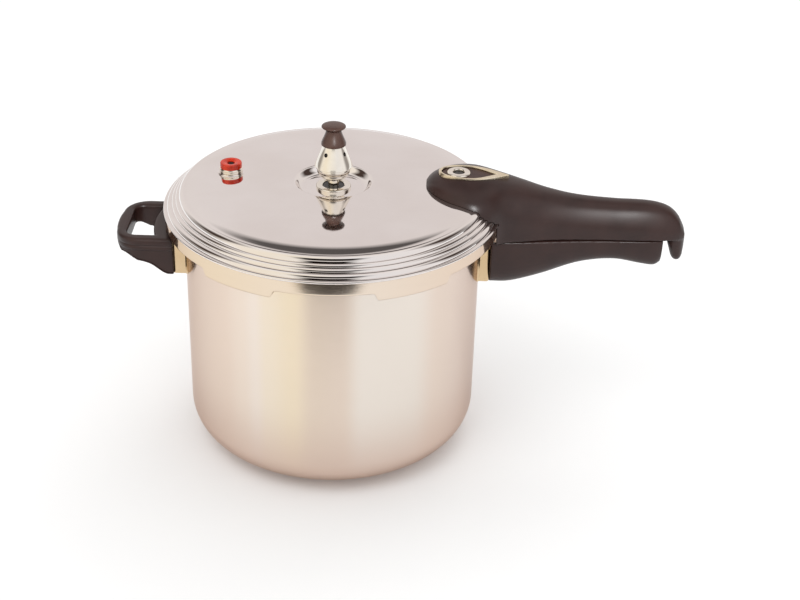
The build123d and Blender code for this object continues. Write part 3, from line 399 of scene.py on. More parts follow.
def turnedMesh(name, outline, finish, sides=160, centre=(0.0, 0.0), sharpDeg=32.0):
    rows = [(r * mm, 0.0, z * mm) for r, z in outline]
    edges = [(i, i + 1) for i in range(len(rows) - 1)]
    if outline[0][0] > 0:
        edges.append((len(rows) - 1, 0))
    mesh = bpy.data.meshes.new(name)
    mesh.from_pydata(rows, edges, [])
    made = runTree(name, mesh, trees["lathe"], {"Sides": sides, "Finish": finishes[finish]})
    made.transform(Matrix.Translation((centre[0] * mm, centre[1] * mm, 0.0)))
    tidyMesh(made, sharpDeg)
    return made


def turnedPiece(name, outline, finish, body, slotName, *nodes, **options):
    place(newObject(name, turnedMesh(name, outline, finish, **options)), body, slotName, *nodes)


# An upright rod that drills a hole
def rod(name, radius, span, finish, centre):
    low, high = span
    outline = [(0.0, low), (radius, low), (radius, high), (0.0, high)]
    return newObject(name, turnedMesh(name, outline, finish, sides=64, centre=centre))


def centreOf(node):
    lo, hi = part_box(node)
    return (lo.x + hi.x) / 2 / mm, (lo.y + hi.y) / 2 / mm


def bakeModifiers(piece):
    made = bpy.data.meshes.new_from_object(piece.evaluated_get(bpy.context.evaluated_depsgraph_get()))
    piece.modifiers.clear()
    piece.data = made


def cutAway(piece, *cutters):
    for cutter in cutters:
        cut = piece.modifiers.new("cut", "BOOLEAN")
        cut.operation = "DIFFERENCE"
        cut.solver = "EXACT"
        cut.object = cutter
    bakeModifiers(piece)
    for cutter in cutters:
        bpy.data.objects.remove(cutter)


def bridge(work, a, b):
    for k in range(len(a)):
        work.faces.new((a[k], a[(k + 1) % len(a)], b[(k + 1) % len(b)], b[k]))


# Rings of points in millimetres become one closed shape
def skinRings(work, rings):
    made = [[work.verts.new(Vector(p) * mm) for p in ring] for ring in rings]
    for a, b in zip(made, made[1:]):
        bridge(work, a, b)
    work.faces.new(list(reversed(made[0])))
    work.faces.new(made[-1])


# Sections of (radius, height) points, set at angles round the Z axis and joined
def bentBlock(work, sections, closed=True):
    rings = []
    for angle, section in sections:
        rings.append([work.verts.new((r * mm * math.cos(angle), r * mm * math.sin(angle), z * mm))
                      for r, z in section])
    for a, b in zip(rings, rings[1:]):
        bridge(work, a, b)
    if closed:
        work.faces.new(rings[0])
        work.faces.new(list(reversed(rings[-1])))


# How far the ends of a lug are drawn in, so that its corners are round
def endTrim(i, steps, trims):
    ends = min(i, steps - i)
    return trims[ends] if ends < len(trims) else 0.0


# Pot: a deep drawn shell with a rounded corner, a turned-out rim and a bonded base
pot = {"radius": 120.0, "wall": 2.0, "corner": 28.0, "base": 5.0, "baseRadius": 92.0, "baseGap": 0.3,
       "rimTop": 195.0, "rimThick": 2.5, "rimRadius": 122.8, "soft": 0.8, "sides": 288,
       "lugs": 6, "lugRadius": 131.5, "lugDeg": 26.0, "lugRoot": 1.5, "lugEnds": (2.2, 0.6), "lugSteps": 16}


def potBody():
    wall, rim, top, soft = pot["radius"], pot["rimRadius"], pot["rimTop"], pot["soft"]
    flat = wall - pot["corner"]
    cornerZ = pot["base"] + pot["corner"]
    inner = wall - pot["wall"]
    innerCorner = pot["corner"] - pot["wall"]
    rimZ = top - pot["rimThick"]
    outline = [(0.0, pot["base"])]
    outline += ellipseArc(flat, cornerZ, pot["corner"], pot["corner"], -90, 0, 20)
    outline += [(wall, cornerZ + (rimZ - cornerZ) * i / 8) for i in range(1, 8)]
    outline += [(wall, rimZ - soft), (wall + soft, rimZ), (rim - soft, rimZ), (rim, rimZ + soft)]
    outline += [(rim, top - soft), (rim - soft, top), (inner + soft, top), (inner, top - soft)]
    outline += ellipseArc(flat, cornerZ, innerCorner, innerCorner, 0, -90, 16)
    outline += [(0.0, pot["base"] + pot["wall"])]
    turnedPiece("potBody", outline, "potSteel", "pot", "pot_steel", "pot_shell", sides=pot["sides"])
    edge, capTop = pot["baseRadius"], pot["base"] - pot["baseGap"]
    cap = [(0.0, 0.0), (edge - soft, 0.0)]
    cap += ellipseArc(edge - soft, soft, soft, soft, -90, 0, 4)
    cap += [(edge, capTop), (0.0, capTop)]
    turnedPiece("baseCap", cap, "baseSteel", "pot", "base_steel", "base_cap", sides=pot["sides"])


# One lug as a bent block with rounded ends, repeated round the rim
def rimLugs():
    half, steps = math.radians(pot["lugDeg"] / 2), pot["lugSteps"]
    low, high, root = pot["rimTop"] - pot["rimThick"], pot["rimTop"], pot["rimRadius"] - pot["lugRoot"]
    sections = []
    for i in range(steps + 1):
        outer = pot["lugRadius"] - endTrim(i, steps, pot["lugEnds"])
        section = [(root, low), (outer, low), (outer, high), (root, high)]
        sections.append((-half + 2 * half * i / steps, section))
    made = repeatedMesh("rimLugs", lambda work: bentBlock(work, sections), "potSteel", pot["lugs"])
    tidyMesh(made)
    place(newObject("rimLugs", made), "pot", "pot_steel", "pot_shell")


potBody()
rimLugs()
print("pot made")


# Lid: crown with a shallow dish, rolled steps, a bead and a skirt with lugs
lid = {"dishRadius": 31.0, "dishLip": 32.6, "dishFlat": 23.5, "dishDepth": 6.0, "bow": 3.03, "rollR": 104.0,
       "rise": 5.5, "shoulderR": 118.1, "shoulderZ": 221.7, "sheet": 2.0, "sides": 384, "sharpDeg": 40.0,
       "steps": [(5.3, 4.6), (2.8, 2.4), (3.0, 2.7), (4.1, 3.6)], "beadR": 136.0, "beadFoot": 205.9,
       "beadHigh": 1.3, "skirtR": 135.0, "skirtZ": 196.0, "skirtSoft": 0.7, "skirtSteps": 96, "lugZ": 190.0,
       "lugThick": 2.0, "lugInner": 124.0, "lugDeg": 25.0, "lugRampDeg": 1.6, "lugEnds": (1.8, 0.5),
       "lugSteps": 24, "skirtSharpDeg": 50.0, "valveHole": 6.1, "drillSpan": (200.0, 240.0)}


# Slightly bowed, then rolled off towards the shoulder
def crownZ(radius):
    bow = lid["bow"] / lid["rollR"] ** 2
    out = max(radius - lid["rollR"], 0.0) / (lid["shoulderR"] - lid["rollR"])
    edge = lid["rise"] - bow * lid["shoulderR"] ** 2
    return lid["shoulderZ"] + lid["rise"] - bow * radius * radius - edge * out * out


dishZ = crownZ(lid["dishRadius"]) - lid["dishDepth"]


def lidSteps(grow=0.0):
    points = []
    r, z = lid["shoulderR"] + grow, lid["shoulderZ"] + grow
    for run, drop in lid["steps"]:
        points += ellipseArc(r, z - drop, run, drop, 90, 0, 10)
        r, z = r + run, z - drop
    bead, foot, high = lid["beadR"] + grow, lid["beadFoot"], lid["beadHigh"]
    points += ellipseArc(r, foot + high + grow, bead - r, z - foot - high - grow, 90, 0, 8)
    return points


def lidCrown():
    sheet, lipR, flat, foot = lid["sheet"], lid["dishLip"], lid["dishFlat"], lid["beadFoot"]
    lipZ = crownZ(lipR)
    outline = [(0.0, dishZ), (flat * 0.6, dishZ)]
    outline += bezier((flat, dishZ), (lipR - 3.6, dishZ), (lipR - 3.4, lipZ), (lipR, lipZ), 32)
    span = lid["shoulderR"] - 2.0 - lipR
    outline += [(r, crownZ(r)) for r in (lipR + span * i / 60 for i in range(1, 61))]
    outline += lidSteps()
    outline += [(lid["beadR"] - 0.3, foot + 0.5), (lid["skirtR"], foot), (lid["skirtR"] - sheet, foot)]
    turn = lid["shoulderR"] - 0.5
    under = [turn + (lid["dishRadius"] - turn) * i / 12 for i in range(13)]
    outline += [(r, crownZ(r) - sheet) for r in under]
    outline += [(flat, dishZ - sheet), (0.0, dishZ - sheet)]
    mesh = turnedMesh("lidPressing", outline, "lidSteel", sides=lid["sides"], sharpDeg=lid["sharpDeg"])
    piece = newObject("lidPressing", mesh)
    cutAway(piece, rod("valveHole", lid["valveHole"], lid["drillSpan"], "lidSteel", centreOf("valve_body")))
    tidyMesh(piece.data, lid["sharpDeg"])
    place(piece, "lid", "lid_steel", "lid_shell")


# One sixth of the skirt: a wall whose lower edge dips at a lug, and the lug turned in under the rim
def lidSkirt():
    sixth = math.tau / pot["lugs"]
    half, ramp = math.radians(lid["lugDeg"] / 2), math.radians(lid["lugRampDeg"])
    outer, inner, top = lid["skirtR"], lid["skirtR"] - lid["sheet"], lid["beadFoot"]
    soft, steps = lid["skirtSoft"], lid["skirtSteps"]
    wall = []
    for i in range(steps + 1):
        angle = -sixth / 2 + sixth * i / steps
        dip = easeInOut(clamp((abs(angle) - half) / ramp))
        low = lid["lugZ"] + (lid["skirtZ"] - lid["lugZ"]) * dip
        section = [(outer, top), (outer, low + 2 * soft), (outer, low + soft), (outer - 0.25, low + 0.2),
                   (outer - soft, low), (inner + 0.3, low), (inner, low + 0.3), (inner, top)]
        wall.append((angle, section))
    low, high, root, steps = lid["lugZ"], lid["lugZ"] + lid["lugThick"], inner + 0.2, lid["lugSteps"]
    lug = []
    for i in range(steps + 1):
        tip = lid["lugInner"] + endTrim(i, steps, lid["lugEnds"])
        section = [(root, low), (root, high), (tip, high), (tip, low)]
        lug.append((-half + 2 * half * i / steps, section))

    def build(work):
        bentBlock(work, wall, closed=False)
        bentBlock(work, lug)

    made = repeatedMesh("lidSkirt", build, "skirtSteel", pot["lugs"])
    tidyMesh(made, lid["skirtSharpDeg"])
    place(newObject("lidSkirt", made), "lid", "lid_steel", "lid_shell")


lidCrown()
lidSkirt()
print("lid made")


# Overlapping closed shapes become one moulded skin with softened edges
def moulded(name, build, voxelMm, smoothing, finish):
    piece = newObject(name, meshFrom(name, build))
    skin = piece.modifiers.new("skin", "REMESH")
    skin.mode = "VOXEL"
    skin.voxel_size = voxelMm * mm
    smooth = piece.modifiers.new("smooth", "SMOOTH")
    smooth.factor = 0.5
    smooth.iterations = smoothing
    bakeModifiers(piece)
    piece.data.materials.append(finishes[finish])
    return piece


# Long handles, eased between a few stations. Upper rows: share of the length, half width below and at the
# waist, height of the waist, half width and height at the top; heights count from the lid's shoulder on the
# nose and from the split on the neck. Hook rows: height, middle, half length, half width. Lower rows: share
# of the length, half width, depth
handles = {
    "split": 187.4, "gap": 0.4, "beadR": 136.0, "noseLong": 61.5, "end": 286.0, "seatGap": 0.2,
    "blockFoot": 165.0, "bore": 9.6, "boreSpan": (205.0, 260.0), "lowerRoot": 128.0, "lowerEnd": 267.5,
    "squareness": 0.72, "screwHead": 4.0, "screwHigh": 3.0, "screwShank": 2.1, "sinkFoot": 100.0,
    "voxel": 0.9, "upperSmoothing": 6, "lowerSmoothing": 5, "sharpDeg": 50.0,
    "nose": [(-1.0, 11.0, 7.5, 2.0, 4.2, 6.2), (-0.94, 18.5, 16.0, 2.0, 9.0, 10.8),
             (-0.80, 28.5, 27.0, 1.6, 14.5, 14.3), (-0.61, 36.5, 35.5, 1.1, 18.5, 15.8),
             (-0.39, 40.5, 39.5, 0.3, 20.0, 15.6), (-0.20, 37.5, 37.0, -2.2, 19.0, 14.5)],
    "neck": [(0.0, 27.5, 28.6, 28.0, 16.6, 46.0), (0.11, 23.2, 24.4, 23.5, 13.8, 41.8),
             (0.24, 19.4, 20.4, 18.5, 11.4, 36.2), (0.40, 16.9, 17.7, 15.0, 9.9, 31.4),
             (0.60, 15.6, 16.4, 13.0, 9.2, 29.0), (0.79, 15.2, 15.8, 12.0, 9.0, 28.0),
             (0.895, 14.2, 14.4, 10.2, 8.3, 24.2), (0.955, 12.0, 12.0, 7.6, 6.9, 16.8),
             (0.99, 8.2, 8.2, 4.0, 4.6, 7.2)],
    "hook": [(3.0, 278.0, 8.0, 11.0), (-6.0, 279.2, 6.9, 9.6), (-14.0, 280.4, 5.5, 7.6),
             (-19.0, 281.0, 4.4, 5.8), (-22.0, 281.2, 2.6, 3.6)],
    "lower": [(0.0, 24.0, 43.5), (0.12, 23.4, 43.0), (0.30, 20.6, 35.8), (0.52, 17.0, 24.2),
              (0.72, 15.4, 20.6), (0.90, 14.8, 24.8), (0.97, 13.6, 25.8), (1.0, 12.0, 22.5)]}


# One section across the upper handle: wide foot, waist, narrow rounded top
def upperSection(x, bottomHalf, waistHalf, waistZ, topHalf, topZ):
    base = handles["split"] + handles["gap"]
    drop = 0.12 * (topZ - waistZ) + 0.8
    knots = [(bottomHalf, 0.0), (waistHalf, waistZ), (topHalf, topZ - drop), (0.0, topZ)]
    tangents = [(0.0, waistZ), ((topHalf - bottomHalf) * 0.5, (topZ - drop) * 0.5),
                (-waistHalf * 0.55, (topZ - waistZ) * 0.42), (-topHalf * 1.0, 0.0)]
    side = []
    for k in range(3):
        for i in range(10):
            t = i / 10
            h = (2 * t ** 3 - 3 * t * t + 1, t ** 3 - 2 * t * t + t, -2 * t ** 3 + 3 * t * t, t ** 3 - t * t)
            side.append(tuple(h[0] * knots[k][c] + h[1] * tangents[k][c] + h[2] * knots[k + 1][c]
                              + h[3] * tangents[k + 1][c] for c in (0, 1)))
    ring = [(x, y, base + z) for y, z in side] + [(x, 0.0, base + topZ)]
    ring += [(x, -y, base + z) for y, z in reversed(side)]
    return ring + [(x, -bottomHalf * (1 - i / 5) + bottomHalf * (i / 5), base) for i in range(1, 5)]


def upperShape(work):
    base = handles["split"] + handles["gap"]
    rise = lid["shoulderZ"] - handles["split"] - handles["gap"]
    grip = handles["end"] - handles["beadR"]
    rows = [(handles["beadR"] + t * handles["noseLong"], b, w, rise + wz, a, rise + tz)
            for t, b, w, wz, a, tz in handles["nose"]]
    rows += [(handles["beadR"] + t * grip, *rest) for t, *rest in handles["neck"]]
    first, last = rows[0][0], rows[-1][0]
    stations = [first + (last - first) * i / 90 for i in range(91)]
    skinRings(work, [upperSection(x, *easeRows(rows, x)) for x in stations])
    hook = handles["hook"]
    hookRows = [(-z, *rest) for z, *rest in hook]
    rings = []
    for i in range(25):
        z = hook[0][0] + (hook[-1][0] - hook[0][0]) * i / 24
        x, halfX, halfY = easeRows(hookRows, -z)
        rings.append([(x + halfX * math.cos(a), halfY * math.sin(a), base + z)
                      for a in (math.tau * k / 32 for k in range(32))])
    skinRings(work, rings)


# The lid as a solid block, cut out of the upper handle so that it sits on the crown and the steps
def lidBlock(grow):
    outer = lid["skirtR"] + grow
    outline = [(r, crownZ(r) + grow) for r in (lid["shoulderR"] * i / 40 for i in range(40))]
    outline += lidSteps(grow)
    outline += [(lid["beadR"] + grow, lid["beadFoot"] - grow), (outer, lid["beadFoot"] - grow)]
    outline += [(outer, handles["blockFoot"]), (0.0, handles["blockFoot"])]
    return newObject("lidBlock", turnedMesh("lidBlock", outline, "lidSteel", sides=256))


# Drop-shaped inlay round the locking pin, tilted a little towards the grip
inlay = {"pinX": 100.0, "back": 16.0, "tip": 40.5, "half": 13.5, "widest": 7.0, "tiltDeg": 2.2, "lift": 15.2,
         "trim": 2.4, "tipTrim": 10.0, "pocket": 2.6, "proud": 0.9, "sink": 0.5, "slack": 0.2,
         "cutHigh": 20.0, "hole": 9.5, "holeSpan": (225.0, 245.0), "sharpDeg": 30.0}


def dropOutline(inset, tipInset):
    back, tip, half = -inlay["back"] + inset, inlay["tip"] - tipInset, inlay["half"] - inset
    mid = inlay["widest"]
    long = tip - mid
    side = bezier((back, 0.0), (back, 0.58 * half), (mid - 0.62 * (mid - back), half), (mid, half), 20)
    side += bezier((mid, half), (mid + 0.42 * long, half), (tip - 0.30 * long, 0.17 * long),
                   (tip, 0.0), 20)[1:]
    return side + [(x, -y) for x, y in reversed(side[1:-1])]


def onInlay(x, y, z):
    tilt = math.radians(inlay["tiltDeg"])
    base = lid["shoulderZ"] + inlay["lift"]
    return Vector((inlay["pinX"] + x * math.cos(tilt) + z * math.sin(tilt), y,
                   base - x * math.sin(tilt) + z * math.cos(tilt))) * mm


def dropLoop(work, inset, tipInset, height):
    return [work.verts.new(onInlay(x, y, height)) for x, y in dropOutline(inset, tipInset)]


# The pocket that the inlay lies in
def dropBlock(work):
    slack = inlay["slack"]
    low = dropLoop(work, -slack, -slack, -inlay["pocket"])
    high = dropLoop(work, -slack, -slack, inlay["cutHigh"])
    bridge(work, low, high)
    work.faces.new(low)
    work.faces.new(high)


def upperHandle():
    piece = moulded("lidHandle", upperShape, handles["voxel"], handles["upperSmoothing"], "phenolic")
    cutAway(piece, lidBlock(handles["seatGap"]), newObject("dropBlock", meshFrom("dropBlock", dropBlock)),
            rod("boreBlock", handles["bore"], handles["boreSpan"], "phenolic", (inlay["pinX"], 0.0)))
    tidyMesh(piece.data, handles["sharpDeg"])
    place(piece, "lid", "handle_phenolic", "lid_handle")


def trimShape(work):
    trim, tip, low, high = inlay["trim"], inlay["tipTrim"], -inlay["pocket"], inlay["proud"]
    loops = [(0.0, 0.0, low), (0.0, 0.0, high - 0.5), (0.5, 0.6, high), (trim - 0.5, tip - 0.8, high),
             (trim, tip, high - 0.5), (trim, tip, low)]
    made = [dropLoop(work, *loop) for loop in loops]
    for a, b in zip(made, made[1:] + made[:1]):
        bridge(work, a, b)


def panelShape(work):
    edge, tip, top = inlay["trim"] + inlay["slack"], inlay["tipTrim"] + inlay["slack"], -inlay["sink"]
    loops = [dropLoop(work, edge, tip, -inlay["pocket"]), dropLoop(work, edge, tip, top - 0.4),
             dropLoop(work, edge + 0.4, tip + 0.5, top)]
    bridge(work, loops[0], loops[1])
    bridge(work, loops[1], loops[2])
    work.faces.new(loops[0])
    work.faces.new(loops[2])


def inlayPieces():
    pieces = (("inlayTrim", trimShape, "trimGold", "bright_chrome", "inlay_trim"),
              ("inlayPanel", panelShape, "inlay", "inlay_black", "inlay_panel"))
    for name, build, finish, slotName, node in pieces:
        mesh = meshFrom(name, build)
        mesh.materials.append(finishes[finish])
        piece = newObject(name, mesh)
        if name == "inlayPanel":
            cutAway(piece, rod("panelHole", inlay["hole"], inlay["holeSpan"], finish, (inlay["pinX"], 0.0)))
        tidyMesh(piece.data, inlay["sharpDeg"])
        place(piece, "lid", slotName, node)


def lowerShape(work):
    span = handles["lowerEnd"] - handles["lowerRoot"]
    rows = [(handles["lowerRoot"] + t * span, *rest) for t, *rest in handles["lower"]]
    top, squareness = handles["split"] - handles["gap"], handles["squareness"]
    rings = []
    for i in range(61):
        x = rows[0][0] + span * i / 60
        half, depth = easeRows(rows, x)
        ring = []
        for k in range(25):
            a = math.pi * k / 24
            y = half * math.copysign(abs(math.cos(a)) ** squareness, math.cos(a))
            ring.append((x, y, top - depth * math.sin(a) ** squareness))
        ring += [(x, -half + 2 * half * j / 6, top) for j in range(1, 6)]
        rings.append(ring)
    skinRings(work, rings)


def lowerHandle():
    piece = moulded("potHandle", lowerShape, handles["voxel"], handles["lowerSmoothing"], "phenolic")
    low, high = (corner.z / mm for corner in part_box("pot_handle_screw"))
    head, shank, foot = handles["screwHead"], handles["screwShank"], handles["sinkFoot"]
    step = low + handles["screwHigh"]
    sink = [(0.0, foot), (head, foot), (head, step), (shank, step), (shank, high), (0.0, high)]
    centre = (centreOf("pot_handle_screw")[0], 0.0)
    cutAway(piece, newObject("screwSink", turnedMesh("screwSink", sink, "phenolic", sides=48, centre=centre)))
    tidyMesh(piece.data, handles["sharpDeg"])
    place(piece, "pot", "handle_phenolic", "pot_handle")


# Helper handle, moulded over a copy of its solid: the root is drawn up to the bracket, the outer end is
# deeper, and a groove and a ledge run along its flanks
helper = {"root": 1.2, "deeper": 9.0, "deepFrom": 40.0, "deepOver": 36.0, "keptTop": 6.0, "keptOver": 8.0,
          "voxel": 0.7, "smoothing": 8, "groove": 0.8, "grooveBelow": 6.2, "grooveHalf": 1.0,
          "ledge": 1.5, "ledgeBelow": 9.4, "ledgeOver": 1.4, "flankFrom": 0.35, "flankOver": 0.3}


def helperHandle():
    low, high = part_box("helper_handle")

    def copySolid(work):
        work.from_mesh(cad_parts["helper_handle"].data)
        bmesh.ops.remove_doubles(work, verts=work.verts, dist=1e-6)
        for vert in work.verts:
            if vert.co.x > high.x - 0.1 * mm:
                vert.co.x += helper["root"] * mm
            outward = clamp((low.x + helper["deepFrom"] * mm - vert.co.x) / (helper["deepOver"] * mm))
            under = clamp((high.z - helper["keptTop"] * mm - vert.co.z) / (helper["keptOver"] * mm))
            vert.co.z -= helper["deeper"] * mm * easeInOut(outward) * under

    piece = moulded("helperHandle", copySolid, helper["voxel"], helper["smoothing"], "phenolic")
    normals = [vert.normal.y for vert in piece.data.vertices]
    for vert, normalY in zip(piece.data.vertices, normals):
        side = math.copysign(1.0, vert.co.y)
        facing = clamp((normalY * side - helper["flankFrom"]) / helper["flankOver"])
        below = (high.z - vert.co.z) / mm
        groove = helper["groove"] * max(0.0, 1 - abs(below - helper["grooveBelow"]) / helper["grooveHalf"])
        ledge = helper["ledge"] * clamp((below - helper["ledgeBelow"]) / helper["ledgeOver"])
        vert.co.y -= side * facing * (groove + ledge) * mm
    tidyMesh(piece.data, handles["sharpDeg"])
    place(piece, "pot", "handle_phenolic", "helper_handle")


upperHandle()
inlayPieces()
lowerHandle()
helperHandle()
print("handles made")


# Bright bezel in the inlay, round the end of the locking pin
bezel = {"outer": 9.4, "seat": 5.6, "hole": 4.6, "high": 1.0, "deep": 5.0, "sides": 96}


def indicatorBezel():
    outer, seat, hole = bezel["outer"], bezel["seat"], bezel["hole"]
    base = lid["shoulderZ"] + inlay["lift"]
    low, top = base - bezel["deep"], base + bezel["high"]
    outline = [(seat, low), (outer, low), (outer, top - 1.2)]
    outline += ellipseArc(outer - 1.4, top - 1.2, 1.4, 1.2, 10, 90, 6)
    outline += ellipseArc(hole + 1.2, top - 1.1, 1.2, 1.1, 90, 175, 6)
    outline += [(hole, top - 3.0), (seat, top - 3.0)]
    turnedPiece("indicatorBezel", outline, "chrome", "lid", "bright_chrome", "indicator_bezel",
                sides=bezel["sides"], centre=(inlay["pinX"], 0.0))


# Vent pipe and the weight that sits on it
weight = {"foot": 14.0, "footHigh": 2.6, "footSoft": 1.2, "shank": 6.0, "recess": 8.8, "recessDeep": 1.8,
          "pipe": 4.5, "slack": 0.3, "lift": 6.8, "bowl": 13.4, "bowlFoot": 7.0, "bowlHigh": 9.0, "slit": 0.3,
          "bell": 15.2, "bellHigh": 18.2, "bellTop": 8.7, "roofGap": 4.0, "knob": 9.9, "knobHigh": 17.5,
          "holes": 4, "holeR": 1.6, "holeDeg": 58.0, "holeBelowTop": 5.6, "holeFloor": 8.0, "sides": 128}


def ventPipe(footTop, pipeLow, pipeTop):
    foot, shank, recess, pipe = weight["foot"], weight["shank"], weight["recess"], weight["pipe"]
    soft, floor = weight["footSoft"], footTop - weight["recessDeep"]
    outline = [(0.0, pipeLow), (shank, pipeLow), (shank, dishZ), (foot, dishZ)]
    outline += ellipseArc(foot - soft, footTop - soft, soft, soft, 0, 90, 8)
    outline += [(recess + 0.6, footTop), (recess, footTop - 0.5), (recess, floor)]
    outline += [(pipe, floor), (pipe, pipeTop - 1.0), (pipe - 1.0, pipeTop), (0.0, pipeTop)]
    turnedPiece("ventPipe", outline, "chrome", "lid", "bright_chrome", "vent_pipe", sides=weight["sides"])
    # painted shade: a dark ring laid on the floor of the recess in the vent's foot
    inner, outer, high = pipe + 0.1, recess - 0.1, floor + 0.9
    recessShade = [(inner, floor), (outer, floor), (outer, floor + 0.5), (recess - 0.5, high), (inner, high)]
    turnedPiece("ventGasket", recessShade, "pin", "lid", "pin_dark", sides=96)


def weightBowl(low, high, bore):
    edge, foot = weight["bowl"], weight["bowlFoot"]
    outline = [(bore, low), (foot - 0.6, low)]
    outline += bezier((foot, low + 0.1), (edge * 0.95, low + 0.4), (edge, low + 4.0), (edge, high - 0.8), 20)
    outline += [(edge - 0.3, high - 0.2), (edge - 0.8, high), (bore, high)]
    turnedPiece("weightBowl", outline, "chrome", "weight", "bright_chrome", "weight_bowl",
                sides=weight["sides"])


# Small level bores round the bell, made once and repeated
def steamHoles(name, z, near, far, slack):
    def oneBore(work):
        radius = (weight["holeR"] - slack) * mm
        turn = Matrix.Translation(((near + far) / 2 * mm, 0.0, z * mm)) @ Matrix.Rotation(math.pi / 2, 4, "Y")
        bmesh.ops.create_cone(work, cap_ends=True, segments=24, radius1=radius, radius2=radius,
                              depth=(far - near) * mm, matrix=turn)

    return newObject(name, repeatedMesh(name, oneBore, "pin", weight["holes"], weight["holeDeg"]))


def weightBell(low, high, bore, roof):
    wide, narrow, tall = weight["bell"], weight["bellTop"], weight["bellHigh"]
    outline = [(bore, low), (wide - 0.8, low), (wide - 0.2, low + 0.3)]
    outline += bezier((wide, low + 0.8), (wide - 1.4, low + 0.30 * tall), (narrow + 1.8, low + 0.66 * tall),
                      (narrow, high), 20)
    outline += [(bore - 2.0, high), (bore - 2.0, roof), (bore, roof)]
    piece = newObject("weightBell", turnedMesh("weightBell", outline, "chrome", sides=weight["sides"]))
    holeZ, floor = high - weight["holeBelowTop"], weight["holeFloor"]
    cutAway(piece, steamHoles("steamHoles", holeZ, floor, wide + 1.0, 0.0))
    tidyMesh(piece.data)
    place(piece, "weight", "bright_chrome", "weight_bell", "weight_needle")
    shade = steamHoles("bellHoleShade", holeZ, floor - 0.1, floor + 1.0, 0.1)  # dark floors of the bores
    tidyMesh(shade.data)
    place(shade, "weight", "pin_dark")


def weightKnob(low):
    wide, tall = weight["knob"], weight["knobHigh"]
    waist, brim = (0.61 * wide, low + 0.71 * tall), (0.98 * wide, low + 0.89 * tall)
    outline = [(0.0, low), (wide - 0.6, low), (wide - 0.1, low + 0.4)]
    outline += bezier((wide, low + 1.6), (wide - 0.5, low + 4.2), (waist[0] + 0.5, waist[1] - 3.6), waist, 12)
    outline += bezier(waist, (waist[0] + 0.3, waist[1] + 1.0), (brim[0] - 0.4, brim[1] - 1.2), brim, 8)[1:]
    outline += bezier(brim, (brim[0], brim[1] + 0.9), (0.80 * wide, low + tall), (0.0, low + tall), 14)[1:]
    turnedPiece("weightKnob", outline, "knobPhenolic", "weight", "knob_black", "weight_knob", sides=96)


def ventAndWeight():
    footTop = dishZ + weight["footHigh"]
    pipeLow, pipeTop = (corner.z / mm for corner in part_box("vent_pipe"))
    ventPipe(footTop, pipeLow, pipeTop)
    bore = weight["pipe"] + weight["slack"]
    bowlLow = footTop + weight["lift"]
    bowlHigh = bowlLow + weight["bowlHigh"]
    weightBowl(bowlLow, bowlHigh, bore)
    bellLow = bowlHigh + weight["slit"]
    bellHigh = bellLow + weight["bellHigh"]
    weightBell(bellLow, bellHigh, bore, pipeTop + weight["roofGap"])
    weightKnob(bellHigh)


# Safety valve: bright ring, orange cap with a dished top round the stem, and a raised pad of the lid under it
valve = {"lift": 0.8, "neck": 6.0, "ring": 9.4, "ringHigh": 3.4, "cap": 8.75, "capEdge": 1.0, "capSeat": 4.4,
         "capHole": 3.0, "capThick": 2.2, "pad": 11.0, "padHigh": 2.0, "sides": 96}


def safetyValve():
    centre, sides = centreOf("valve_body"), valve["sides"]
    low, top = (corner.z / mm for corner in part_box("valve_body"))
    top += valve["lift"]
    neck, wide, foot = valve["neck"], valve["ring"], top - valve["ringHigh"]
    ring = [(0.0, low), (neck, low), (neck, foot), (wide - 0.4, foot), (wide, foot + 0.4), (wide, foot + 1.4)]
    ring += [(wide - 0.4, foot + 1.7), (wide, foot + 2.0), (wide, top - 0.6), (wide - 0.6, top), (0.0, top)]
    turnedPiece("valveBody", ring, "chrome", "lid", "bright_chrome", "valve_body", sides=sides, centre=centre)
    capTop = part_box("valve_cap")[1].z / mm + valve["lift"]
    wide, edge, seat, hole = valve["cap"], valve["capEdge"], valve["capSeat"], valve["capHole"]
    roof = capTop - valve["capThick"]
    cap = [(seat, top), (wide, top), (wide, capTop - edge)]
    cap += ellipseArc(wide - edge, capTop - edge, edge, edge, 0, 90, 6)
    cap += [(seat + edge, capTop), (hole, capTop - edge), (hole, roof), (seat, roof)]
    turnedPiece("valveCap", cap, "orange", "lid", "valve_orange", "valve_cap", sides=sides, centre=centre)
    wide, hole, padLow = valve["pad"], lid["valveHole"], foot - valve["padHigh"]
    pad = [(hole, padLow), (wide, padLow), (wide, foot - 0.4), (wide - 0.4, foot), (hole, foot)]
    turnedPiece("valvePad", pad, "lidSteel", "lid", "lid_steel", sides=sides, centre=centre)


indicatorBezel()
ventAndWeight()
safetyValve()
print("fittings made")


# Steel strap inside the upper handle, a little narrower than its solid so that the softened skin covers it
strap = {"narrowed": 0.92, "sharpDeg": 30.0}


def innerStrap():
    def copySolid(work):
        work.from_mesh(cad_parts["lid_handle_bracket"].data)
        bmesh.ops.remove_doubles(work, verts=work.verts, dist=1e-6)
        for vert in work.verts:
            vert.co.y *= strap["narrowed"]

    piece = newObject("lidHandleStrap", meshFrom("lidHandleStrap", copySolid))
    piece.data.materials.append(finishes["sheetSteel"])
    tidyMesh(piece.data, strap["sharpDeg"])
    place(piece, "lid", "bracket_steel", "lid_handle_bracket")


# Coil of the safety valve; in use it is pressed together towards the cap as the stem rises, and here it is
# made at rest
spring = {"turns": 5, "wire": 0.4, "travel": 2.5, "turnSteps": 32, "wireSides": 12, "sharpDeg": 50.0}


